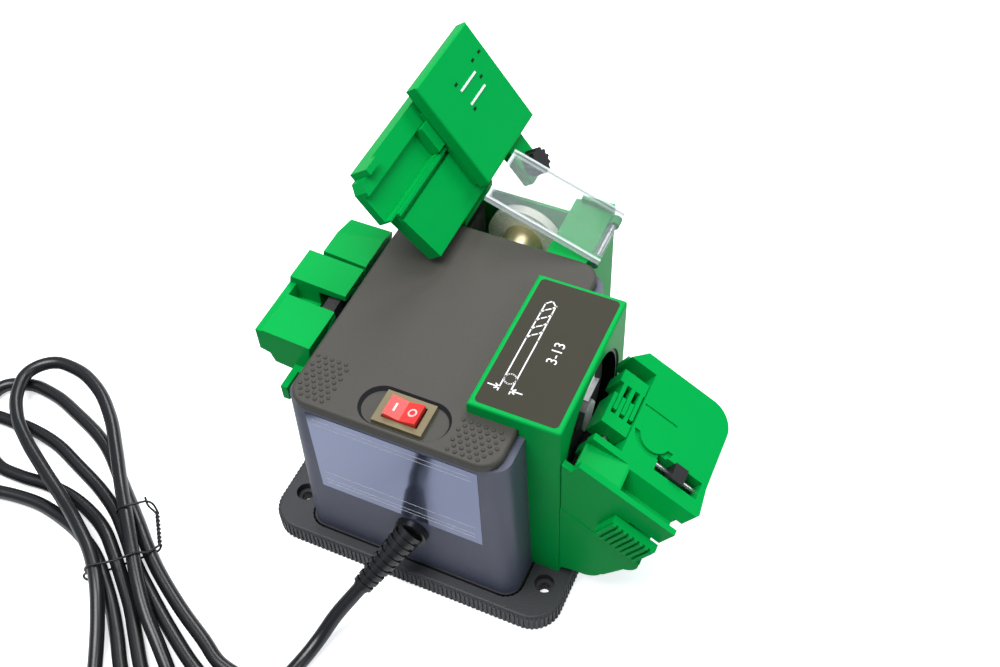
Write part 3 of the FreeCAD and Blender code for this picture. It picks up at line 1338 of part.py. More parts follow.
def cords(tip, way):
    points = [hank_point(*stop) for stop in HANK]
    lead = (points[0] - hank_point(*ENTRY)).normalize()
    route = [tip, tip + way * value["boot_lead"], hank_point(*LANDING), hank_point(*ENTRY), points[0]]
    tube("cord", eased(route), tip, way)
    ways = headings(points, lead)
    edges = []
    for a, way_a, b, way_b in zip(points, ways, points[1:], ways[1:]):
        edges += biarc(a, way_a, b, way_b)
    wire = Part.Wire(edges)
    spots = wire.discretize(Distance=4)
    gap = min((a - b).Length for i, a in enumerate(spots) for b in spots[i + 8:])
    least = min(edge.Curve.Radius for edge in edges if hasattr(edge.Curve, "Radius"))
    print("hank least radius %.1f, least gap %.2f" % (least, gap - 2 * value["cord_r"]))
    tube("cord_hank", wire, points[0], lead)
    plug(points[-1], ways[-1])
    tie()


def plug(at, way):
    outline = [("0", "-plug_neck"), ("plug_throat", "-plug_neck-2"), ("plug_shoulder", "-plug_half"),
               ("plug_long", "-plug_half"),
               ("plug_long", "plug_half"), ("plug_shoulder", "plug_half"), ("plug_throat",
                                                                            "plug_neck+2"), ("0",
                                                                                             "plug_neck")]
    body = prism("plug_body", "z", outline, "-plug_thick/2", "plug_thick/2")
    pins = [rod("prong_%d" % i, "x", "%d*prong_half" % i, "0", "plug_long", "plug_long+prong_long",
                "prong_r") for i in (-1, 1)]
    for item, label in ((group("plug", body), "plug"), (group("plug_pins", *pins), "plug_pins")):
        node(item, label)
        item.Placement = FreeCAD.Placement(at, Rot(Vec(1, 0, 0), way))


def tie():
    ends = ("-tie_right", "tie_left", "tie_low", "tie_high")
    out = box("tie_out", "-tie_wide/2", "tie_wide/2", "-tie_right-tie_thick", "tie_left+tie_thick",
              "tie_low-tie_thick", "tie_high+tie_thick")
    inner = box("tie_in", "-tie_wide", "tie_wide", *ends)
    tail = box("tie_tail", "-tie_wide/2", "tie_wide/2", "-tie_right-tie_tail", "-tie_right", "tie_high",
               "tie_high+tie_thick")
    item = join("twist_tie", less("tie_ring", out, inner), tail)
    node(item, "twist_tie")
    item.Placement = FreeCAD.Placement(hank_point(0, 0, 0), Rot(Vec(0, 0, 1), value["hank_turn"]))
def finish():
    """Check every object, then write one file per piece."""
    doc.recompute()
    faults = []
    for item in doc.Objects:
        if "Invalid" in item.State or "Error" in item.State:
            faults.append(item.Name)
        elif hasattr(item, "Shape") and (item.Shape.isNull() or not item.Shape.isValid()):
            faults.append(item.Name + " shape")
    if faults:
        raise RuntimeError("not valid: " + ", ".join(faults))
    os.makedirs("parts", exist_ok=True)
    for item in nodes:
        print("%-18s solids %d volume %10.1f" % (item.Label, len(item.Shape.Solids), item.Shape.Volume))
        item.Shape.exportStep("parts/%s.step" % item.Label)


base()
shell = housing()
lid()
switch()
motor()
belt_drive()
shafts()
wheels()
drill_station(shell)
drill_cradle()
drill_holder()
jaws()
knife_station(shell)
rear_station()
chisel_bed()
carriage()
shield()
cords(*boot())
finish()
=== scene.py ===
import math

import bpy
import bmesh
from mathutils import Matrix, Vector


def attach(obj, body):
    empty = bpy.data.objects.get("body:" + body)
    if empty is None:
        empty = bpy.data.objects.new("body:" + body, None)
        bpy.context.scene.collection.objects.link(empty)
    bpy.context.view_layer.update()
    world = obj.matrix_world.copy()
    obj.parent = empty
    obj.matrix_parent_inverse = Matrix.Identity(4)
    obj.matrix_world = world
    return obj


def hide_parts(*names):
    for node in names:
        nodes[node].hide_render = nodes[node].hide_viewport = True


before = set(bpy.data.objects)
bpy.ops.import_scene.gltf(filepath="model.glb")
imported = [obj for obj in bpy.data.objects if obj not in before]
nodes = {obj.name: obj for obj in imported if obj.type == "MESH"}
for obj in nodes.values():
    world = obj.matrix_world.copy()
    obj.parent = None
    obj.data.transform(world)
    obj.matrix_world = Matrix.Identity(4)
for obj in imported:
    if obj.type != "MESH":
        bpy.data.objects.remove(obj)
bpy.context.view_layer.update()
scene = bpy.context.scene
MM = 0.001


def link(obj):
    scene.collection.objects.link(obj)
    return obj


# camera


def camera(azimuth, elevation, roll, focal_px, target, distance):
    """Camera that looks at the target from a direction, given in degrees and millimetres."""
    a, e, r = (math.radians(x) for x in (azimuth, elevation, roll))
    back = Vector((math.sin(a) * math.cos(e), -math.cos(a) * math.cos(e), math.sin(e)))
    right = (-back).cross(Vector((0, 0, 1))).normalized()
    up = right.cross(-back)
    right_r = math.cos(r) * right + math.sin(r) * up
    up_r = -math.sin(r) * right + math.cos(r) * up
    data = bpy.data.cameras.new("camera")
    data.sensor_width = 36
    data.lens = focal_px * 36 / 1000
    data.clip_start = 0.01
    data.clip_end = 20
    obj = link(bpy.data.objects.new("camera", data))
    turn = Matrix((right_r, up_r, back)).transposed().to_4x4()
    place = (Vector(target) + back * distance) * MM
    obj.matrix_world = Matrix.Translation(place) @ turn
    scene.camera = obj


camera(26.313, 50.709, -2.827, 1226.08, (-0.713, 35.147, 50.0), 560.1)
scene.view_settings.view_transform = "Standard"


# shader helpers


class Nodes:
    """Short way to add and join shader nodes in a tree."""

    def __init__(self, tree):
        self.tree = tree

    def add(self, kind, **values):
        item = self.tree.nodes.new(kind)
        for name, value in values.items():
            if hasattr(item, name):
                setattr(item, name, value)
            else:
                item.inputs[name.replace("_", " ")].default_value = value
        return item

    def join(self, a, b):
        self.tree.links.new(a, b)


def group_tree(name, inputs, outputs):
    """Empty shader group with the named inputs and outputs."""
    tree = bpy.data.node_groups.new(name, "ShaderNodeTree")
    for label, kind, start in inputs:
        socket = tree.interface.new_socket(label, in_out="INPUT", socket_type=kind)
        socket.default_value = start
    for label, kind in outputs:
        tree.interface.new_socket(label, in_out="OUTPUT", socket_type=kind)
    tree.nodes.new("NodeGroupInput")
    tree.nodes.new("NodeGroupOutput")
    return tree, Nodes(tree)


def moulded_group():
    """Moulded plastic: faint mottling of the colour, wear at the roughness, and a fine grain."""
    tree, n = group_tree("moulded", [
        ("Color", "NodeSocketColor", (0.5, 0.5, 0.5, 1)), ("Mottle", "NodeSocketFloat", 0.06),
        ("Grain Size", "NodeSocketFloat", 900.0), ("Grain", "NodeSocketFloat", 0.05),
        ("Roughness", "NodeSocketFloat", 0.35)],
        [("Color", "NodeSocketColor"), ("Roughness", "NodeSocketFloat"), ("Normal", "NodeSocketVector")])
    source, result = tree.nodes["Group Input"], tree.nodes["Group Output"]
    place = n.add("ShaderNodeTexCoord")
    broad = n.add("ShaderNodeTexNoise", Scale=22.0, Detail=4.0)
    n.join(place.outputs["Object"], broad.inputs["Vector"])
    fine = n.add("ShaderNodeTexNoise", Detail=2.0)
    n.join(place.outputs["Object"], fine.inputs["Vector"])
    n.join(source.outputs["Grain Size"], fine.inputs["Scale"])
    swing = n.add("ShaderNodeMath", operation="MULTIPLY_ADD")
    n.join(broad.outputs["Fac"], swing.inputs[0])
    n.join(source.outputs["Mottle"], swing.inputs[1])
    swing.inputs[2].default_value = 0.97
    tint = n.add("ShaderNodeMix", data_type="RGBA", blend_type="MULTIPLY")
    tint.inputs[0].default_value = 1.0
    n.join(source.outputs["Color"], tint.inputs[6])
    n.join(swing.outputs[0], tint.inputs[7])
    n.join(tint.outputs[2], result.inputs["Color"])
    gloss = n.add("ShaderNodeMath", operation="MULTIPLY_ADD")
    n.join(broad.outputs["Fac"], gloss.inputs[0])
    gloss.inputs[1].default_value = 0.12
    n.join(source.outputs["Roughness"], gloss.inputs[2])
    n.join(gloss.outputs[0], result.inputs["Roughness"])
    bump = n.add("ShaderNodeBump", Distance=0.0004)
    n.join(source.outputs["Grain"], bump.inputs["Strength"])
    n.join(fine.outputs["Fac"], bump.inputs["Height"])
    n.join(bump.outputs["Normal"], result.inputs["Normal"])
    return tree


MOULDED = moulded_group()


def blank_material(name):
    """New material, the short way to add its nodes, and its shader."""
    mat = bpy.data.materials.new(name)
    mat.use_nodes = True
    return mat, Nodes(mat.node_tree), mat.node_tree.nodes["Principled BSDF"]


def plastic(name, color, roughness, mottle, grain_size, grain, specular=0.5):
    """Plastic, rubber, foil or print in one colour, with the shared mottling and grain."""
    mat, n, shader = blank_material(name)
    look = n.add("ShaderNodeGroup", node_tree=MOULDED)
    look.inputs["Color"].default_value = (*color, 1)
    look.inputs["Mottle"].default_value = mottle
    look.inputs["Grain Size"].default_value = grain_size
    look.inputs["Grain"].default_value = grain
    look.inputs["Roughness"].default_value = roughness
    shader.inputs["Specular IOR Level"].default_value = specular
    n.join(look.outputs["Color"], shader.inputs["Base Color"])
    n.join(look.outputs["Roughness"], shader.inputs["Roughness"])
    n.join(look.outputs["Normal"], shader.inputs["Normal"])
    return mat


def metal(name, color, roughness=0.3, stretch=(1.0, 1.0, 40.0)):
    """Brushed or turned metal: fine streaks change the roughness and the colour a little."""
    mat, n, shader = blank_material(name)
    place = n.add("ShaderNodeTexCoord")
    scale = n.add("ShaderNodeMapping")
    scale.inputs["Scale"].default_value = stretch
    n.join(place.outputs["Object"], scale.inputs["Vector"])
    noise = n.add("ShaderNodeTexNoise", Scale=120.0, Detail=3.0)
    n.join(scale.outputs["Vector"], noise.inputs["Vector"])
    ramp = n.add("ShaderNodeValToRGB")
    ramp.color_ramp.elements[0].color = (*[c * 0.8 for c in color], 1)
    ramp.color_ramp.elements[1].color = (*color, 1)
    n.join(noise.outputs["Fac"], ramp.inputs["Fac"])
    n.join(ramp.outputs["Color"], shader.inputs["Base Color"])
    rough = n.add("ShaderNodeMath", operation="MULTIPLY_ADD")
    n.join(noise.outputs["Fac"], rough.inputs[0])
    rough.inputs[1].default_value = 0.2
    rough.inputs[2].default_value = roughness
    n.join(rough.outputs[0], shader.inputs["Roughness"])
    shader.inputs["Metallic"].default_value = 1.0
    return mat


def abrasive(name, color):
    """Bonded grit: darker and lighter grains in one body."""
    mat, n, shader = blank_material(name)
    place = n.add("ShaderNodeTexCoord")
    grains = n.add("ShaderNodeTexVoronoi", Scale=1400.0)
    n.join(place.outputs["Object"], grains.inputs["Vector"])
    ramp = n.add("ShaderNodeValToRGB")
    ramp.color_ramp.elements[0].color = (*[c * 0.7 for c in color], 1)
    ramp.color_ramp.elements[1].color = (*[min(1, c * 1.15) for c in color], 1)
    n.join(grains.outputs["Distance"], ramp.inputs["Fac"])
    n.join(ramp.outputs["Color"], shader.inputs["Base Color"])
    bump = n.add("ShaderNodeBump", Distance=0.0003, Strength=0.6)
    n.join(grains.outputs["Distance"], bump.inputs["Height"])
    n.join(bump.outputs["Normal"], shader.inputs["Normal"])
    shader.inputs["Roughness"].default_value = 0.85
    return mat


# the clear shield in metres, which place its painted rim highlight: its pin, the lean of its sheet, its
# reach from the pin and its two sides
SHIELD_PIN_X, SHIELD_PIN_Z = 0.0393, 0.1032
SHIELD_LEAN = math.radians(20)
SHIELD_REACH = 0.053
SHIELD_FRONT, SHIELD_BACK = 0.044, 0.075


def clear_plastic(name):
    """Clear sheet: looks through where seen square on; painted highlight makes it whitish and more opaque at
    its rims, and painted reflection makes it more opaque where seen at a slant.
    """
    mat, n, shader = blank_material(name)
    place = n.add("ShaderNodeTexCoord")
    noise = n.add("ShaderNodeTexNoise", Scale=60.0, Detail=3.0)
    n.join(place.outputs["Object"], noise.inputs["Vector"])
    haze = n.add("ShaderNodeMath", operation="MULTIPLY_ADD")
    n.join(noise.outputs["Fac"], haze.inputs[0])
    haze.inputs[1].default_value = 0.08
    haze.inputs[2].default_value = 0.02
    n.join(haze.outputs[0], shader.inputs["Roughness"])
    way_x, way_z = math.cos(SHIELD_LEAN), -math.sin(SHIELD_LEAN)
    along = n.add("ShaderNodeVectorMath", operation="DOT_PRODUCT")
    n.join(place.outputs["Object"], along.inputs[0])
    along.inputs[1].default_value = (way_x, 0, way_z)
    split = n.add("ShaderNodeSeparateXYZ")
    n.join(place.outputs["Object"], split.inputs[0])
    start = SHIELD_PIN_X * way_x + SHIELD_PIN_Z * way_z - SHIELD_REACH
    rims = (
        (along.outputs["Value"], 1, -start),
        (split.outputs["Y"], 1, -SHIELD_FRONT),
        (split.outputs["Y"], -1, SHIELD_BACK),
    )
    nearest = None
    for source, sign, shift in rims:
        far = n.add("ShaderNodeMath", operation="MULTIPLY_ADD")
        n.join(source, far.inputs[0])
        far.inputs[1].default_value = sign
        far.inputs[2].default_value = shift
        if nearest is not None:
            least = n.add("ShaderNodeMath", operation="MINIMUM")
            n.join(nearest, least.inputs[0])
            n.join(far.outputs[0], least.inputs[1])
            nearest = least.outputs[0]
        else:
            nearest = far.outputs[0]
    # painted highlight: whitish and more opaque within about 2 mm of the sheet's rims
    rim = n.add("ShaderNodeMapRange")
    n.join(nearest, rim.inputs["Value"])
    rim.inputs["From Min"].default_value = 0.0006
    rim.inputs["From Max"].default_value = 0.0021
    rim.inputs["To Min"].default_value = 0.55
    rim.inputs["To Max"].default_value = 0.12
    tint = n.add("ShaderNodeValToRGB")
    tint.color_ramp.elements[0].position = 0.15
    tint.color_ramp.elements[0].color = (0.30, 0.35, 0.35, 1)
    tint.color_ramp.elements[1].position = 0.5
    tint.color_ramp.elements[1].color = (0.72, 0.76, 0.77, 1)
    n.join(rim.outputs[0], tint.inputs["Fac"])
    n.join(tint.outputs["Color"], shader.inputs["Base Color"])
    shader.inputs["IOR"].default_value = 1.3
    # painted reflection: the sheet is more opaque where seen at a slant
    slant_reflection = n.add("ShaderNodeLayerWeight", Blend=0.35)
    painted_glare_alpha = n.add("ShaderNodeMath", operation="MULTIPLY_ADD", use_clamp=True)
    n.join(slant_reflection.outputs["Facing"], painted_glare_alpha.inputs[0])
    painted_glare_alpha.inputs[1].default_value = 0.35
    n.join(rim.outputs[0], painted_glare_alpha.inputs[2])
    n.join(painted_glare_alpha.outputs[0], shader.inputs["Alpha"])
    return mat


GREEN = plastic("green plastic", (0.0002, 0.335, 0.057), 0.34, 0.10, 700.0, 0.03, specular=0.05)
LID = plastic("lid grey", (0.054, 0.050, 0.042), 0.5, 0.12, 1500.0, 0.30, specular=0.32)
BODY = plastic("housing grey", (0.064, 0.070, 0.105), 0.42, 0.10, 1500.0, 0.25)
BASE = plastic("base grey", (0.030, 0.030, 0.034), 0.48, 0.10, 1300.0, 0.25)
BLACK = plastic("black plastic", (0.008, 0.008, 0.009), 0.42, 0.08, 900.0, 0.08)
RED = plastic("red rocker", (0.75, 0.035, 0.03), 0.22, 0.05, 500.0, 0.01)
BEZEL = plastic("switch bezel", (0.17, 0.135, 0.065), 0.35, 0.08, 700.0, 0.05)
RUBBER = plastic("cord rubber", (0.006, 0.006, 0.0065), 0.24, 0.12, 600.0, 0.03, specular=0.6)
STICKER = plastic("sticker", (0.028, 0.025, 0.014), 0.45, 0.10, 800.0, 0.04, specular=0.22)
LABEL = plastic("foil label", (0.19, 0.215, 0.325), 0.02, 0.10, 800.0, 0.0)
LABEL.node_tree.nodes["Principled BSDF"].inputs["Metallic"].default_value = 0.85
PRINT = plastic("white print", (0.85, 0.85, 0.84), 0.5, 0.04, 900.0, 0.02)
DARK = plastic("dark print", (0.003, 0.035, 0.006), 0.6, 0.04, 900.0, 0.02, specular=0.1)
# painted shadow: near black for the line where the housing stands on the base plate
SEAM_SHADOW = plastic("painted seam shadow", (0.004, 0.004, 0.005), 0.7, 0.04, 900.0, 0.02, specular=0.1)
# painted shade: near black for the inside of the oval recess round the switch
RECESS_SHADE = plastic("painted recess shade", (0.017, 0.018, 0.022), 0.6, 0.10, 1500.0, 0.2, specular=0.2)
STEEL = metal("steel", (0.62, 0.62, 0.63), 0.28)
BRASS = metal("brass", (0.80, 0.68, 0.42), 0.30)
COPPER = metal("copper", (0.55, 0.28, 0.16), 0.40)
STONE = abrasive("cream abrasive", (0.90, 0.86, 0.76))
# painted shade: the drill and knife wheels are made near black for the deep shade in their mouths
SHADED_GRIT = abrasive("abrasive in painted shade", (0.035, 0.034, 0.033))
CLEAR = clear_plastic("clear plastic")

LOOKS = {
    GREEN: "drill_station drill_cradle drill_holder jaw_front jaw_back thumb_grip knife_station "
           "rear_station chisel_bed chisel_carriage clamp_plate",
    LID: "lid",
    BODY: "housing",
    BASE: "base_plate motor_magnets",
    RED: "power_rocker",
    BEZEL: "switch_body",
    BLACK: "motor_cap motor_brushes motor_cradle wheel_guard pit_guard clamp_knob twist_tie drill_stop",
    RUBBER: "drive_belt cord_boot cord cord_hank plug",
    STICKER: "station_plate",
    STEEL: "motor_can drive_pulley driven_pulley cross_shaft rear_spindle axle_bearings spindle_bearings "
           "axle_gear spindle_gear shaft_nuts spindle_nut spring_tab pivot_pin stop_rods jaw_rod "
           "shield_pin guide_pins",
    BRASS: "switch_tabs spindle_hub plug_pins",
    COPPER: "motor_rotor",
    STONE: "chisel_wheel",
    SHADED_GRIT: "drill_wheel knife_wheel",
    CLEAR: "shield",
}
for look, names in LOOKS.items():
    for name in names.split():
        nodes[name].data.materials.clear()
        nodes[name].data.materials.append(look)


# floor and light: sizes and places in metres

FLOOR_HALF = 6.0
FLOOR_Z = -0.0004
FLOOR_GLOW = 0.62
LAMP_AIM = Vector((0, 0, 0.06))
LAMPS = (
    ("key", (-0.25, -0.30, 1.35), 0.9, 18.0),
    ("fill", (1.2, 0.1, 0.9), 0.6, 4.0),
    ("rim", (-0.45, 0.95, 1.05), 0.5, 5.0),
    ("top", (0.25, 0.75, 1.2), 0.6, 7.0),
)


def pale_floor():
    """Plain pale floor that stays white to the camera and throws less light back at the object."""
    floor_mesh = bpy.data.meshes.new("floor")
    corners = [(x * FLOOR_HALF, y * FLOOR_HALF, FLOOR_Z) for x, y in ((-1, -1), (1, -1), (1, 1), (-1, 1))]
    floor_mesh.from_pydata(corners, [], [(0, 1, 2, 3)])
    floor = link(bpy.data.objects.new("floor", floor_mesh))
    mat = plastic("floor", (0.93, 0.93, 0.93), 0.7, 0.01, 20.0, 0.0, specular=0.1)
    n = Nodes(mat.node_tree)
    path = n.add("ShaderNodeLightPath")
    seen = n.add("ShaderNodeMix", data_type="RGBA")
    seen.inputs[6].default_value = (0.30, 0.33, 0.36, 1)
    bright = n.add("ShaderNodeMath", operation="MAXIMUM")
    n.join(path.outputs["Is Camera Ray"], bright.inputs[0])
    n.join(path.outputs["Is Glossy Ray"], bright.inputs[1])
    n.join(bright.outputs[0], seen.inputs[0])
    look = next(item for item in mat.node_tree.nodes if item.type == "GROUP")
    n.join(look.outputs["Color"], seen.inputs[7])
    shader = mat.node_tree.nodes["Principled BSDF"]
    n.join(seen.outputs[2], shader.inputs["Base Color"])
    glow = n.add("ShaderNodeMath", operation="MULTIPLY")
    n.join(path.outputs["Is Camera Ray"], glow.inputs[0])
    glow.inputs[1].default_value = FLOOR_GLOW
    shader.inputs["Emission Color"].default_value = (0.98, 0.99, 1.0, 1)
    n.join(glow.outputs[0], shader.inputs["Emission Strength"])
    floor_mesh.materials.append(mat)


def soft_sky():
    """White to the camera, and a soft bluish light on the object."""
    world = bpy.data.worlds.new("studio")
    scene.world = world
    world.use_nodes = True
    n = Nodes(world.node_tree)
    sky = world.node_tree.nodes["Background"]
    path = n.add("ShaderNodeLightPath")
    glow = n.add("ShaderNodeMix", data_type="RGBA")
    glow.inputs[6].default_value = (0.27, 0.31, 0.36, 1)
    glow.inputs[7].default_value = (1, 1, 1, 1)
    n.join(path.outputs["Is Camera Ray"], glow.inputs[0])
    n.join(glow.outputs[2], sky.inputs["Color"])


def lamps():
    for name, place, size, watts in LAMPS:
        data = bpy.data.lights.new(name, "AREA")
        data.shape = "DISK"
        data.size = size
        data.energy = watts
        lamp = link(bpy.data.objects.new(name, data))
        lamp.location = place
        lamp.rotation_euler = (LAMP_AIM - Vector(place)).to_track_quat("-Z", "Y").to_euler()


pale_floor()
soft_sky()
lamps()


# cord and hank, in millimetres

CORD_R = 3.15
CORD_STEP = 4.0
BOOT_ROOT = Vector((4, -66.5, 37))
BOOT_TIP = Vector((-9.5, -91, 20))
BOOT_LEAD = 16
HANK_X, HANK_Y = -125, -108
HANK_TURN = math.radians(139.8)


def arc_points(a, way, b, step):
    """Points of the arc from a to b that leaves a in the given direction, without its last point."""
    chord = b - a
    across = chord - way * chord.dot(way)
    if across.length < 1e-4 * chord.length:
        count = max(1, round(chord.length / step))
        return [a + chord * i / count for i in range(count)]
    side = across.normalized()
    radius = chord.length_squared / (2 * chord.dot(side))
    angle = 2 * math.atan2(chord.dot(side), chord.dot(way))
    count = max(2, round(radius * angle / step))
    middle = a + side * radius
    turns = [angle * i / count for i in range(count)]
    return [middle - side * radius * math.cos(t) + way * radius * math.sin(t) for t in turns]


def biarc_points(a, way_a, b, way_b, step):
    """Points of two arcs that join a and b in the given directions, without the last point."""
    span, total = b - a, way_a + way_b
    slack = 2 * (1 - way_a.dot(way_b))
    if slack < 1e-9:
        d = span.length_squared / (4 * span.dot(way_b))
    else:
        d = (-span.dot(total) + math.sqrt(span.dot(total) ** 2 + slack * span.length_squared)) / slack
    joint = (a + way_a * d + b - way_b * d) / 2
    back = arc_points(b, -way_b, joint, step)
    return arc_points(a, way_a, joint, step) + [joint] + back[:0:-1]


# free cord, then the tied hank strand by strand, from the machine's side to the plug:
# along the hank, across it and height
LANDING = (-84, 64.4, 5.2)
ENTRY = (-88.6, 55.1, 3.3)
HANK = (
    (-92.5, 47, 3.3), (-77, 24.5, 3.3), (-60, 20, 3.3), (-44, 16, 3.3), (-11, 11, 4.8), (6, 10.6, 5.1),
    (29, 9.4, 3.3), (59, 7, 3.3), (80, 0, 3.3), (98, -8, 3.3), (110, -18, 3.3), (114, -32, 3.3),
    (104, -39, 3.3), (92, -31, 3.3), (81, -21.5, 3.3), (68, -13.5, 3.3), (51, -7, 3.3),
    (32, -0.5, 3.3), (18, 2.6, 4.1), (4, 3.6, 5.1), (-12, 3.8, 4.7), (-33, 6.2, 3.3), (-50, 8.8, 3.3),
    (-72, 13.4, 3.3), (-92, 20.5, 3.3), (-108, 23.5, 3.3), (-119.5, 12.5, 3.3), (-109, 1.4, 3.3),
    (-92, 1.6, 3.3), (-72, 3, 3.3), (-57, 2.6, 5.2), (-41, 2, 8.1), (-26, 3, 10.4), (-10, 5, 12),
    (6, 7, 12.2), (29, 9.5, 10.4), (46, 12, 10.4), (66, 14.2, 10.4), (85, 13, 10.4), (102, 6.5, 10.4),
    (112, -4, 10.4), (111, -16, 10.4), (101, -23, 10.4), (87, -26, 10.4), (71, -25, 10.4),
    (52, -21.5, 10.4), (31, -17, 10.4), (13, -13.8, 11.7), (-5, -12, 12.2), (-19, -13.3, 11.1),
    (-33, -17, 8.3), (-47, -22, 5), (-60, -27, 3.3), (-78, -35, 3.3), (-94, -38.5, 3.3),
    (-105, -27.5, 3.3), (-94, -16.6, 3.3), (-76, -16, 3.3), (-57, -14.6, 3.3), (-43, -12.4, 3.3),
    (-29, -11, 3.3), (-15, -10.6, 4.5), (-1, -11.2, 5.2), (12, -14.5, 4.7), (25, -20, 3.3),
    (38, -28, 3.3), (47, -36.5, 3.3), (56, -47, 3.3), (67, -60, 3.3), (82, -69, 3.3), (97, -64.5, 3.3),
    (97.5, -49.5, 3.3), (83, -44, 3.3), (68, -41, 3.3), (57, -32.5, 3.3), (47, -22.5, 3.3),
    (35, -13.6, 3.3), (22, -7.6, 3.6), (9, -4.2, 4.9), (-5, -3.4, 5.1), (-19, -3.4, 4),
    (-33, -3.8, 3.3), (-47, -5.4, 3.3), (-62, -7, 3.3), (-84, -7.2, 3.3), (-103, -8, 3.3),
    (-118, -22, 3.3), (-114, -45, 3.6), (-107, -68, 6.2), (-109, -92, 6.8),
)


def hank_point(along, across, height):
    """Point given along the hank, across it and by its height."""
    up = Vector((math.cos(HANK_TURN), math.sin(HANK_TURN), 0))
    return Vector((HANK_X, HANK_Y, height)) + up * along + Vector((up.y, -up.x, 0)) * across


def headings(points, first):
    """Direction at each point, tangent to the circle through it and its two neighbours."""
    ways = [first]
    for a, b, c in zip(points, points[1:], points[2:]):
        share = (c - b).length / (b - a).length
        ways.append(((b - a) * share + (c - b) / share).normalized())
    end = points[-1] - points[-2]
    return ways + [Vector((end.x, end.y, 0)).normalized()]


def free_points(end, step):
    """Straight runs with tangent arcs from the boot to the hank."""
    way = (BOOT_TIP - BOOT_ROOT).normalized()
    route = [BOOT_TIP, BOOT_TIP + way * BOOT_LEAD, hank_point(*LANDING), hank_point(*ENTRY), end]
    points = [route[0]]
    for a, b, c in zip(route, route[1:], route[2:]):
        reach = 0.45 * min((a - b).length, (c - b).length)
        start, stop = b + (a - b).normalized() * reach, b + (c - b).normalized() * reach
        points += arc_points(start, (b - a).normalized(), stop, step) + [stop]
    return points


def smooth_line(data, points):
    """Adds a smooth spline to the curve, along points in millimetres."""
    line = data.splines.new("NURBS")
    line.points.add(len(points) - 1)
    for item, p in zip(line.points, points):
        item.co = (*(p * MM), 1)
    line.order_u = 3
    line.use_endpoint_u = True


def round_curve(name, radius, look, steps):
    """Curve with a round section, to which splines are added."""
    data = bpy.data.curves.new(name, "CURVE")
    data.dimensions = "3D"
    data.bevel_depth = radius * MM
    data.bevel_resolution = 5
    data.use_fill_caps = True
    data.resolution_u = steps
    data.materials.append(look)
    return data


# wire tie on the hank: the band under and over the strands, its hooked end, the run over the top and the eye
TIE_R = 0.5
TIE_ROUTES = (
    ((-10, 16, 6), (-12, 13.4, 8), (-13.4, 10.5, 9), (-14.4, 7.6, 13.6), (-14.9, 5, 15.8), (-14.6, 1, 14.8),
     (-13.6, -4, 14.0), (-13, -9.6, 15.0), (-12.4, -12.8, 15.8), (-11, -15.8, 13.4), (-9.6, -16.6, 8),
     (-8.6, -16.2, 3), (-8.4, -13.5, 1.1), (-9, 0, 1.0), (-9.6, 13, 1.1), (-10, 15.6, 2.4),
     (-10, 16.4, 4.6)),
    ((-8.8, -16.2, 5), (-7.2, -17.4, 3.4), (-6.8, -18.6, 2.0), (-8.2, -18.8, 1.2), (-9.4, -17.6, 1.4)),
    ((12.5, 3.4, 9.5), (11.4, 4.6, 13.5), (10.4, 7.2, 15.9), (9.6, 10.5, 15.6), (9.2, 14.5, 15.2),
     (9.4, 17.4, 14.2), (8.4, 19.4, 12.6), (6.4, 20.2, 10.8), (4.4, 20.2, 9.2)),
    ((11.4, 17.6, 14.6), (9.6, 17.3, 13.4), (8.0, 17.4, 11.6), (6.2, 18.6, 10.2), (4.4, 19.6, 9.0)),
)
TWIST_START, TWIST_END = (4.4, 19.9, 9.1), (-10, 16.2, 5.2)
TWIST_R = 0.6
TWIST_STEPS = 32


def mesh_from(draft):
    """Mesh of an object as it is evaluated; the object goes."""
    graph = bpy.context.evaluated_depsgraph_get()
    mesh = bpy.data.meshes.new_from_object(draft.evaluated_get(graph), depsgraph=graph)
    bpy.data.objects.remove(draft)
    return mesh


def tie_wire():
    """Covered wire round the strands, its two ends twisted together beside them."""
    data = round_curve("tie_wire", TIE_R, BLACK, 4)
    for route in TIE_ROUTES:
        smooth_line(data, [hank_point(*p) for p in route])
    start, end = Vector(TWIST_START), Vector(TWIST_END)
    for turn in (0, math.pi):
        twist = []
        for i in range(TWIST_STEPS + 1):
            p = start.lerp(end, i / TWIST_STEPS)
            a = turn + i * math.pi / 4
            twist.append(hank_point(p.x, p.y + TWIST_R * math.cos(a), p.z + TWIST_R * math.sin(a)))
        smooth_line(data, twist)
    mesh = mesh_from(link(bpy.data.objects.new("tie_draft", data)))
    obj = link(bpy.data.objects.new("tie_wire", mesh))
    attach(obj, "machine")
    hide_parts("twist_tie")
    return obj


def cord():
    stops = [hank_point(*stop) for stop in HANK]
    ways = headings(stops, (stops[0] - hank_point(*ENTRY)).normalized())
    points = free_points(stops[0], CORD_STEP)
    for a, way_a, b, way_b in zip(stops, ways, stops[1:], ways[1:]):
        points += biarc_points(a, way_a, b, way_b, CORD_STEP)
    points.append(stops[-1])
    data = round_curve("mains_cord", CORD_R, RUBBER, 3)
    smooth_line(data, points)
    obj = link(bpy.data.objects.new("mains_cord", data))
    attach(obj, "machine")
    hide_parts("cord", "cord_hank")
    tie_wire()


cord()


# small pieces that repeat, in millimetres


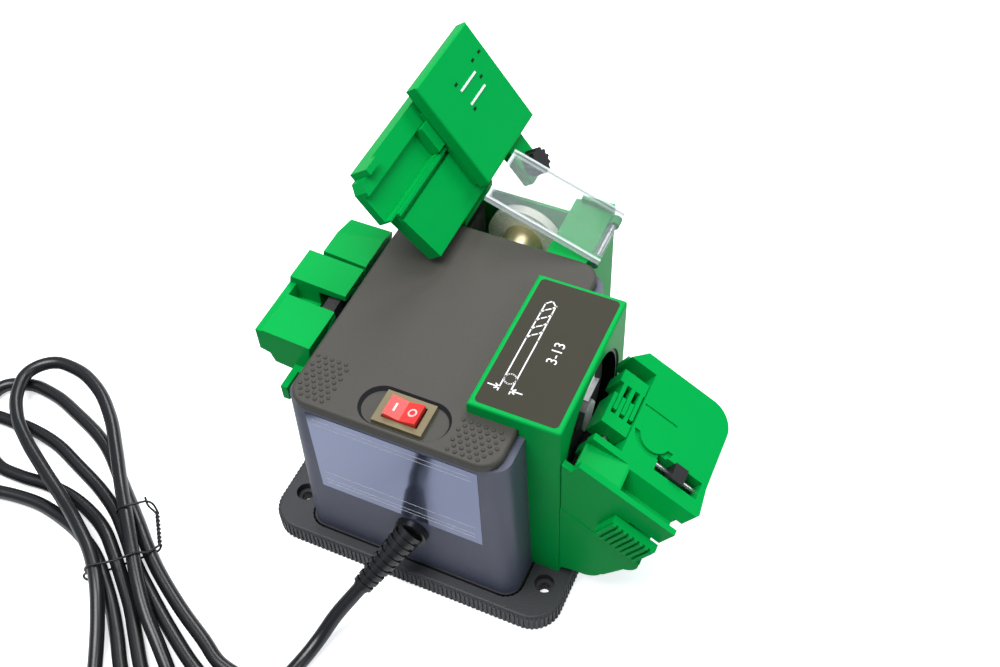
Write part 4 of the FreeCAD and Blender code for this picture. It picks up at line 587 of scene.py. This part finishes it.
def copies_tree():
    """Geometry Nodes tree: puts a copy of a shape on every point, turned by the point's own angle."""
    tree = bpy.data.node_groups.new("copies", "GeometryNodeTree")
    tree.interface.new_socket("Points", in_out="INPUT", socket_type="NodeSocketGeometry")
    tree.interface.new_socket("Shape", in_out="INPUT", socket_type="NodeSocketObject")
    tree.interface.new_socket("Look", in_out="INPUT", socket_type="NodeSocketMaterial")
    tree.interface.new_socket("Result", in_out="OUTPUT", socket_type="NodeSocketGeometry")
    n = Nodes(tree)
    source, result = n.add("NodeGroupInput"), n.add("NodeGroupOutput")
    shape = n.add("GeometryNodeObjectInfo")
    angle = n.add("GeometryNodeInputNamedAttribute", data_type="FLOAT_VECTOR")
    angle.inputs["Name"].default_value = "turn"
    put = n.add("GeometryNodeInstanceOnPoints")
    real = n.add("GeometryNodeRealizeInstances")
    paint = n.add("GeometryNodeSetMaterial")
    n.join(source.outputs["Points"], put.inputs["Points"])
    n.join(source.outputs["Shape"], shape.inputs["Object"])
    n.join(shape.outputs["Geometry"], put.inputs["Instance"])
    n.join(angle.outputs["Attribute"], put.inputs["Rotation"])
    n.join(put.outputs["Instances"], real.inputs["Geometry"])
    n.join(real.outputs["Geometry"], paint.inputs["Geometry"])
    n.join(source.outputs["Look"], paint.inputs["Material"])
    n.join(paint.outputs["Geometry"], result.inputs["Result"])
    return tree


COPIES = copies_tree()


def mesh_of(name, build):
    """Mesh made with a short bmesh function."""
    mesh = bpy.data.meshes.new(name)
    bm = bmesh.new()
    build(bm)
    bmesh.ops.recalc_face_normals(bm, faces=bm.faces)
    bm.to_mesh(mesh)
    bm.free()
    return mesh


def copies(name, body, look, shape, points):
    """One piece of many copies; points are (place in mm, turn about Z in radians)."""
    mesh = bpy.data.meshes.new(name + "_points")
    mesh.from_pydata([Vector(p) * MM for p, _ in points], [], [])
    turn = mesh.attributes.new("turn", "FLOAT_VECTOR", "POINT")
    for item, (_, angle) in zip(turn.data, points):
        item.vector = (0, 0, angle)
    holder = link(bpy.data.objects.new(name + "_points", mesh))
    sample = link(bpy.data.objects.new(name + "_shape", shape))
    mod = holder.modifiers.new("copies", "NODES")
    mod.node_group = COPIES
    sockets = {s.name: s.identifier for s in COPIES.interface.items_tree if s.in_out == "INPUT"}
    mod[sockets["Shape"]] = sample
    mod[sockets["Look"]] = look
    result = mesh_from(holder)
    bpy.data.objects.remove(sample)
    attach(link(bpy.data.objects.new(name, result)), body)


def block_mesh(name, dx, dy, dz):
    def build(bm):
        bmesh.ops.create_cube(bm, size=1.0)
        bmesh.ops.scale(bm, vec=(dx * MM, dy * MM, dz * MM), verts=bm.verts)
    return mesh_of(name, build)


def dome_mesh(name, r, high):
    def build(bm):
        bmesh.ops.create_uvsphere(bm, u_segments=10, v_segments=6, radius=r * MM)
        bmesh.ops.scale(bm, vec=(1, 1, high / r), verts=bm.verts)
    mesh = mesh_of(name, build)
    mesh.polygons.foreach_set("use_smooth", [True] * len(mesh.polygons))
    return mesh


BASE_HALF_X, BASE_HALF_Y, BASE_CORNER = 68.0, 72.0, 13.0
RIB_WIDE, RIB_DEEP, RIB_HIGH = 1.1, 0.9, 8.4
RIB_STEP = 2.1
RIB_Z = 4.4


def base_ribs():
    """Upright grip ribs all round the base's edge."""
    half_x, half_y, corner = BASE_HALF_X, BASE_HALF_Y, BASE_CORNER
    points = []

    def run(a, b, angle):
        count = round((b - a).length / RIB_STEP)
        for i in range(count):
            p = a + (b - a) * (i + 0.5) / count
            points.append(((p.x, p.y, RIB_Z), angle))

    x, y = half_x - corner, half_y - corner
    run(Vector((-x, -half_y)), Vector((x, -half_y)), 0)
    run(Vector((half_x, -y)), Vector((half_x, y)), math.pi / 2)
    run(Vector((x, half_y)), Vector((-x, half_y)), 0)
    run(Vector((-half_x, y)), Vector((-half_x, -y)), math.pi / 2)
    count = round(corner * math.pi / 2 / RIB_STEP)
    for cx, cy, start in ((x, -y, -90), (x, y, 0), (-x, y, 90), (-x, -y, 180)):
        for i in range(count):
            a = math.radians(start) + (i + 0.5) * math.pi / 2 / count
            p = (cx + corner * math.cos(a), cy + corner * math.sin(a), RIB_Z)
            points.append((p, a + math.pi / 2))
    copies("base_ribs", "machine", BASE, block_mesh("rib", RIB_WIDE, RIB_DEEP, RIB_HIGH), points)


LID_TOP = 107.0
DOT_R, DOT_HIGH = 0.85, 0.6
DOT_STEP, DOT_ROW = 3.1, 2.4
DOT_FIELDS = ((-41.5, -26.5, -63.5, -42), (24.5, 42.5, -64.5, -50))
# middle of the lid's round corner, and how far from it the dots go
DOT_CORNER_X, DOT_CORNER_Y, DOT_CORNER_R = 35.5, 58.0, 7


def lid_dimples():
    """Raised dots on the two front corners of the lid."""
    points = []
    for x0, x1, y0, y1 in DOT_FIELDS:
        for j in range(int((y1 - y0) / DOT_ROW) + 1):
            y = y0 + j * DOT_ROW
            x = x0 + (DOT_STEP / 2 if j % 2 else 0)
            while x <= x1:
                corner = Vector((abs(x) - DOT_CORNER_X, abs(y) - DOT_CORNER_Y))
                if min(corner) < 0 or corner.length < DOT_CORNER_R:
                    points.append(((x, y, LID_TOP), 0))
                x += DOT_STEP
    copies("lid_dimples", "machine", LID, dome_mesh("dot", DOT_R, DOT_HIGH), points)


base_ribs()
lid_dimples()


# flat prints, and thin sheets of painted shade, in millimetres

PLATE_TOP = 113.0
SHEET_THICK = 0.12
CLAMP_TILT = math.radians(53)
CLAMP_TOP = 64.4
# the housing's front: its foot, its height and how far it leans back
FRONT_Y, FRONT_FOOT, FRONT_HIGH, FRONT_LEAN = -65.42, 10, 93, 0.2
SWITCH_X, SWITCH_Y = 2.5, -56.1
# the rocker's top: its valley, and its rise at half its length
ROCKER_Z, ROCKER_RISE, ROCKER_HALF = 108.3, 1.5, 6.8
FOOT_TOP = 10.0


def on_plate(u, v, high):
    """Station plate: u to the right, v to the back."""
    return (u, v, PLATE_TOP + high)


def on_sheet(u, v, high):
    """Thin sheet on the station plate."""
    return (u, v, PLATE_TOP + SHEET_THICK + high)


def on_clamp(b, y, high):
    """Sloping clamp plate: b down its slope."""
    n = CLAMP_TOP + high
    return (b * math.cos(CLAMP_TILT) + n * math.sin(CLAMP_TILT), y,
            n * math.cos(CLAMP_TILT) - b * math.sin(CLAMP_TILT))


def on_front(x, z, high):
    """Front wall of the housing."""
    lean = FRONT_LEAN * (z - FRONT_FOOT) / FRONT_HIGH
    return (x, FRONT_Y + lean - high, z)


def on_label(x, z, high):
    """Just inside the label's face."""
    return on_front(x, z, high + 0.1)


def on_rocker(u, v, high):
    """The two sloping halves of the rocker's top."""
    return (SWITCH_X + u, SWITCH_Y + v, ROCKER_Z + abs(u) * ROCKER_RISE / ROCKER_HALF + high)


def on_foot(x, y, high):
    """Top of the base plate."""
    return (x, y, FOOT_TOP + high)


def add_slab(bm, outline, place, thick):
    """Thin slab on an outline; place turns (u, v) and a height into a point in millimetres."""
    low = [bm.verts.new(Vector(place(u, v, 0.0)) * MM) for u, v in outline]
    high = [bm.verts.new(Vector(place(u, v, thick)) * MM) for u, v in outline]
    bm.faces.new(low)
    bm.faces.new(high)
    for i in range(len(outline)):
        j = (i + 1) % len(outline)
        bm.faces.new((low[i], low[j], high[j], high[i]))


def finished(name, body, look, mesh):
    """Piece with its look, on its body."""
    mesh.materials.append(look)
    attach(link(bpy.data.objects.new(name, mesh)), body)


def strokes(name, body, look, lines, place, width, thick):
    """Flat strips along polylines."""
    def build(bm):
        for line in lines:
            pts = [Vector(p) for p in line]
            for a, b in zip(pts, pts[1:]):
                way = (b - a).normalized() * width / 2
                side = Vector((-way.y, way.x))
                add_slab(bm, [a - way + side, a - way - side, b + way - side, b + way + side], place, thick)
    finished(name, body, look, mesh_of(name, build))


def plate(name, body, look, outline, place, thick):
    """Flat plate with a straight-sided outline."""
    def build(bm):
        add_slab(bm, outline, place, thick)
    finished(name, body, look, mesh_of(name, build))


def ring(cu, cv, r, count=20):
    """Closed polyline round a centre."""
    angles = [2 * math.pi * i / count for i in range(count + 1)]
    return [(cu + r * math.cos(a), cv + r * math.sin(a)) for a in angles]


def rounded_box(x0, x1, y0, y1, r):
    """Outline with round corners, from the right front corner round by the left."""
    corners = ((x1 - r, y0 + r, 0), (x0 + r, y0 + r, -90),
               (x0 + r, y1 - r, -180), (x1 - r, y1 - r, -270))
    points = []
    for cx, cy, start in corners:
        for i in range(7):
            a = math.radians(start - 15 * i)
            points.append((cx + r * math.cos(a), cy + r * math.sin(a)))
    return points


# oval recess round the switch: half its straight sides, points of each half round,
# and the section of the painted-shade sheet on its wall as radius and height
OVAL_HALF = 9.7
OVAL_POINTS = 17
OVAL_WALL = ((9.25, 106.95), (8.1, 105.25), (9.25, 105.25))


def oval(r):
    """Points round the oval: the right half round, then the left."""
    points = []
    for side, start in ((1, -90), (-1, 90)):
        for i in range(OVAL_POINTS):
            a = math.radians(start + 180 * i / (OVAL_POINTS - 1))
            points.append((SWITCH_X + side * OVAL_HALF + r * math.cos(a), SWITCH_Y + r * math.sin(a)))
    return points


def switch_ring():
    """Painted shade: a dark sheet on the sloping wall of the oval recess round the switch."""
    def build(bm):
        rows = [[bm.verts.new(Vector((x, y, z)) * MM) for x, y in oval(r)] for r, z in OVAL_WALL]
        for one, two in zip(rows, rows[1:] + rows[:1]):
            for i in range(len(one)):
                j = (i + 1) % len(one)
                bm.faces.new((one[i], one[j], two[j], two[i]))
    finished("switch_ring", "machine", RECESS_SHADE, mesh_of("switch_ring", build))


def drill_icon():
    """Outline of a twist drill with a size arrow on each side of its shank."""
    left, right, low, high = 32.5, 37.3, -30.0, 12.0
    middle = (left + right) / 2
    flute = -9.0
    tip = high - 2.2
    lines = [
        [(left, low), (left, flute), (left + 0.2, tip), (middle, high), (right - 0.2, tip), (right, flute),
         (right, low)],
        ring(middle, low, (right - left) / 2, 16),
    ]
    turns = 4
    pitch = (high - 2.5 - flute) / turns
    for i in range(turns):
        y = flute + i * pitch
        lines.append([(left, y), (left + 1.2, y + 0.35 * pitch), (right - 1.2, y + 0.75 * pitch),
                      (right, y + 1.1 * pitch)])
    arrow = low - 5.0
    for x in (left, right):
        lines.append([(x, low - 1.0), (x, arrow - 1.5)])
    for x, out in ((left, -1), (right, 1)):
        lines.append([(x + out * 4.5, arrow), (x, arrow)])
        lines.append([(x + out * 1.6, arrow + 1.0), (x, arrow), (x + out * 1.6, arrow - 1.0)])
    strokes("drill_icon", "machine", PRINT, lines, on_sheet, 0.55, 0.12)


def size_range():
    """Plain numbers beside the drill, read from the right."""
    half_thick = 0.06
    text = bpy.data.curves.new("size_range", "FONT")
    text.body = "3-13"
    text.size = 6.2 * MM
    text.extrude = half_thick * MM
    text.align_x = "CENTER"
    mesh = mesh_from(link(bpy.data.objects.new("size_range_text", text)))
    middle = Vector(on_sheet(48.2, -12.0, half_thick)) * MM
    mesh.transform(Matrix.Translation(middle) @ Matrix.Rotation(math.pi / 2, 4, "Z"))
    mesh.materials.clear()
    finished("size_range", "machine", PRINT, mesh)


def clamp_prints():
    """Two white lines and a few small dark marks on the clamp plate."""
    lines = [[(b, 75), (b, 88)] for b in (-140, -132.8)]
    strokes("clamp_lines", "clamp", PRINT, lines, on_clamp, 0.9, 0.35)
    marks = ((-144, 97.8), (-144, 91.5), (-136.5, 89.8), (-143.6, 74.6), (-130.3, 75))
    dots = [[(b, y - 0.5), (b, y + 0.5)] for b, y in marks]
    strokes("clamp_marks", "clamp", DARK, dots, on_clamp, 1.2, 0.1)


def rocker_prints():
    """On and off signs of the switch."""
    strokes("rocker_on", "rocker", PRINT, [[(-3.6, -1.5), (-3.6, 1.5)]], on_rocker, 0.7, 0.1)
    strokes("rocker_off", "rocker", PRINT, [ring(3.6, 0, 1.5)], on_rocker, 0.6, 0.1)


def front_label():
    """Bare foil field with plain rules."""
    field = [(-37.3, 46), (36.5, 46), (36.5, 98), (-37.3, 98)]
    plate("label_field", "machine", LABEL, field, on_front, 0.12)
    rules = [[(-34.5, z), (33.5, z)] for z in (94.5, 91.5, 57.5, 52.5, 50.0)]
    strokes("label_rules", "machine", PRINT, rules, on_label, 0.22, 0.05)


def station_sheet():
    sheet = rounded_box(26.1, 60.2, -44.5, 21.9, 2.0)
    plate("station_sheet", "machine", STICKER, sheet, on_plate, SHEET_THICK)


def foot_seam():
    """Painted shadow: dark line on the base plate along the foot of the housing, where it stands."""
    shadow_line = [(50.6, -47.0)] + rounded_box(-50.6, 50.6, -66.5, 39.0, 8.0)[:14] + [(-50.6, 39.0)]
    strokes("foot_seam", "machine", SEAM_SHADOW, [shadow_line], on_foot, 0.9, 0.1)


clamp_prints()
rocker_prints()
front_label()
station_sheet()
foot_seam()
switch_ring()
drill_icon()
size_range()
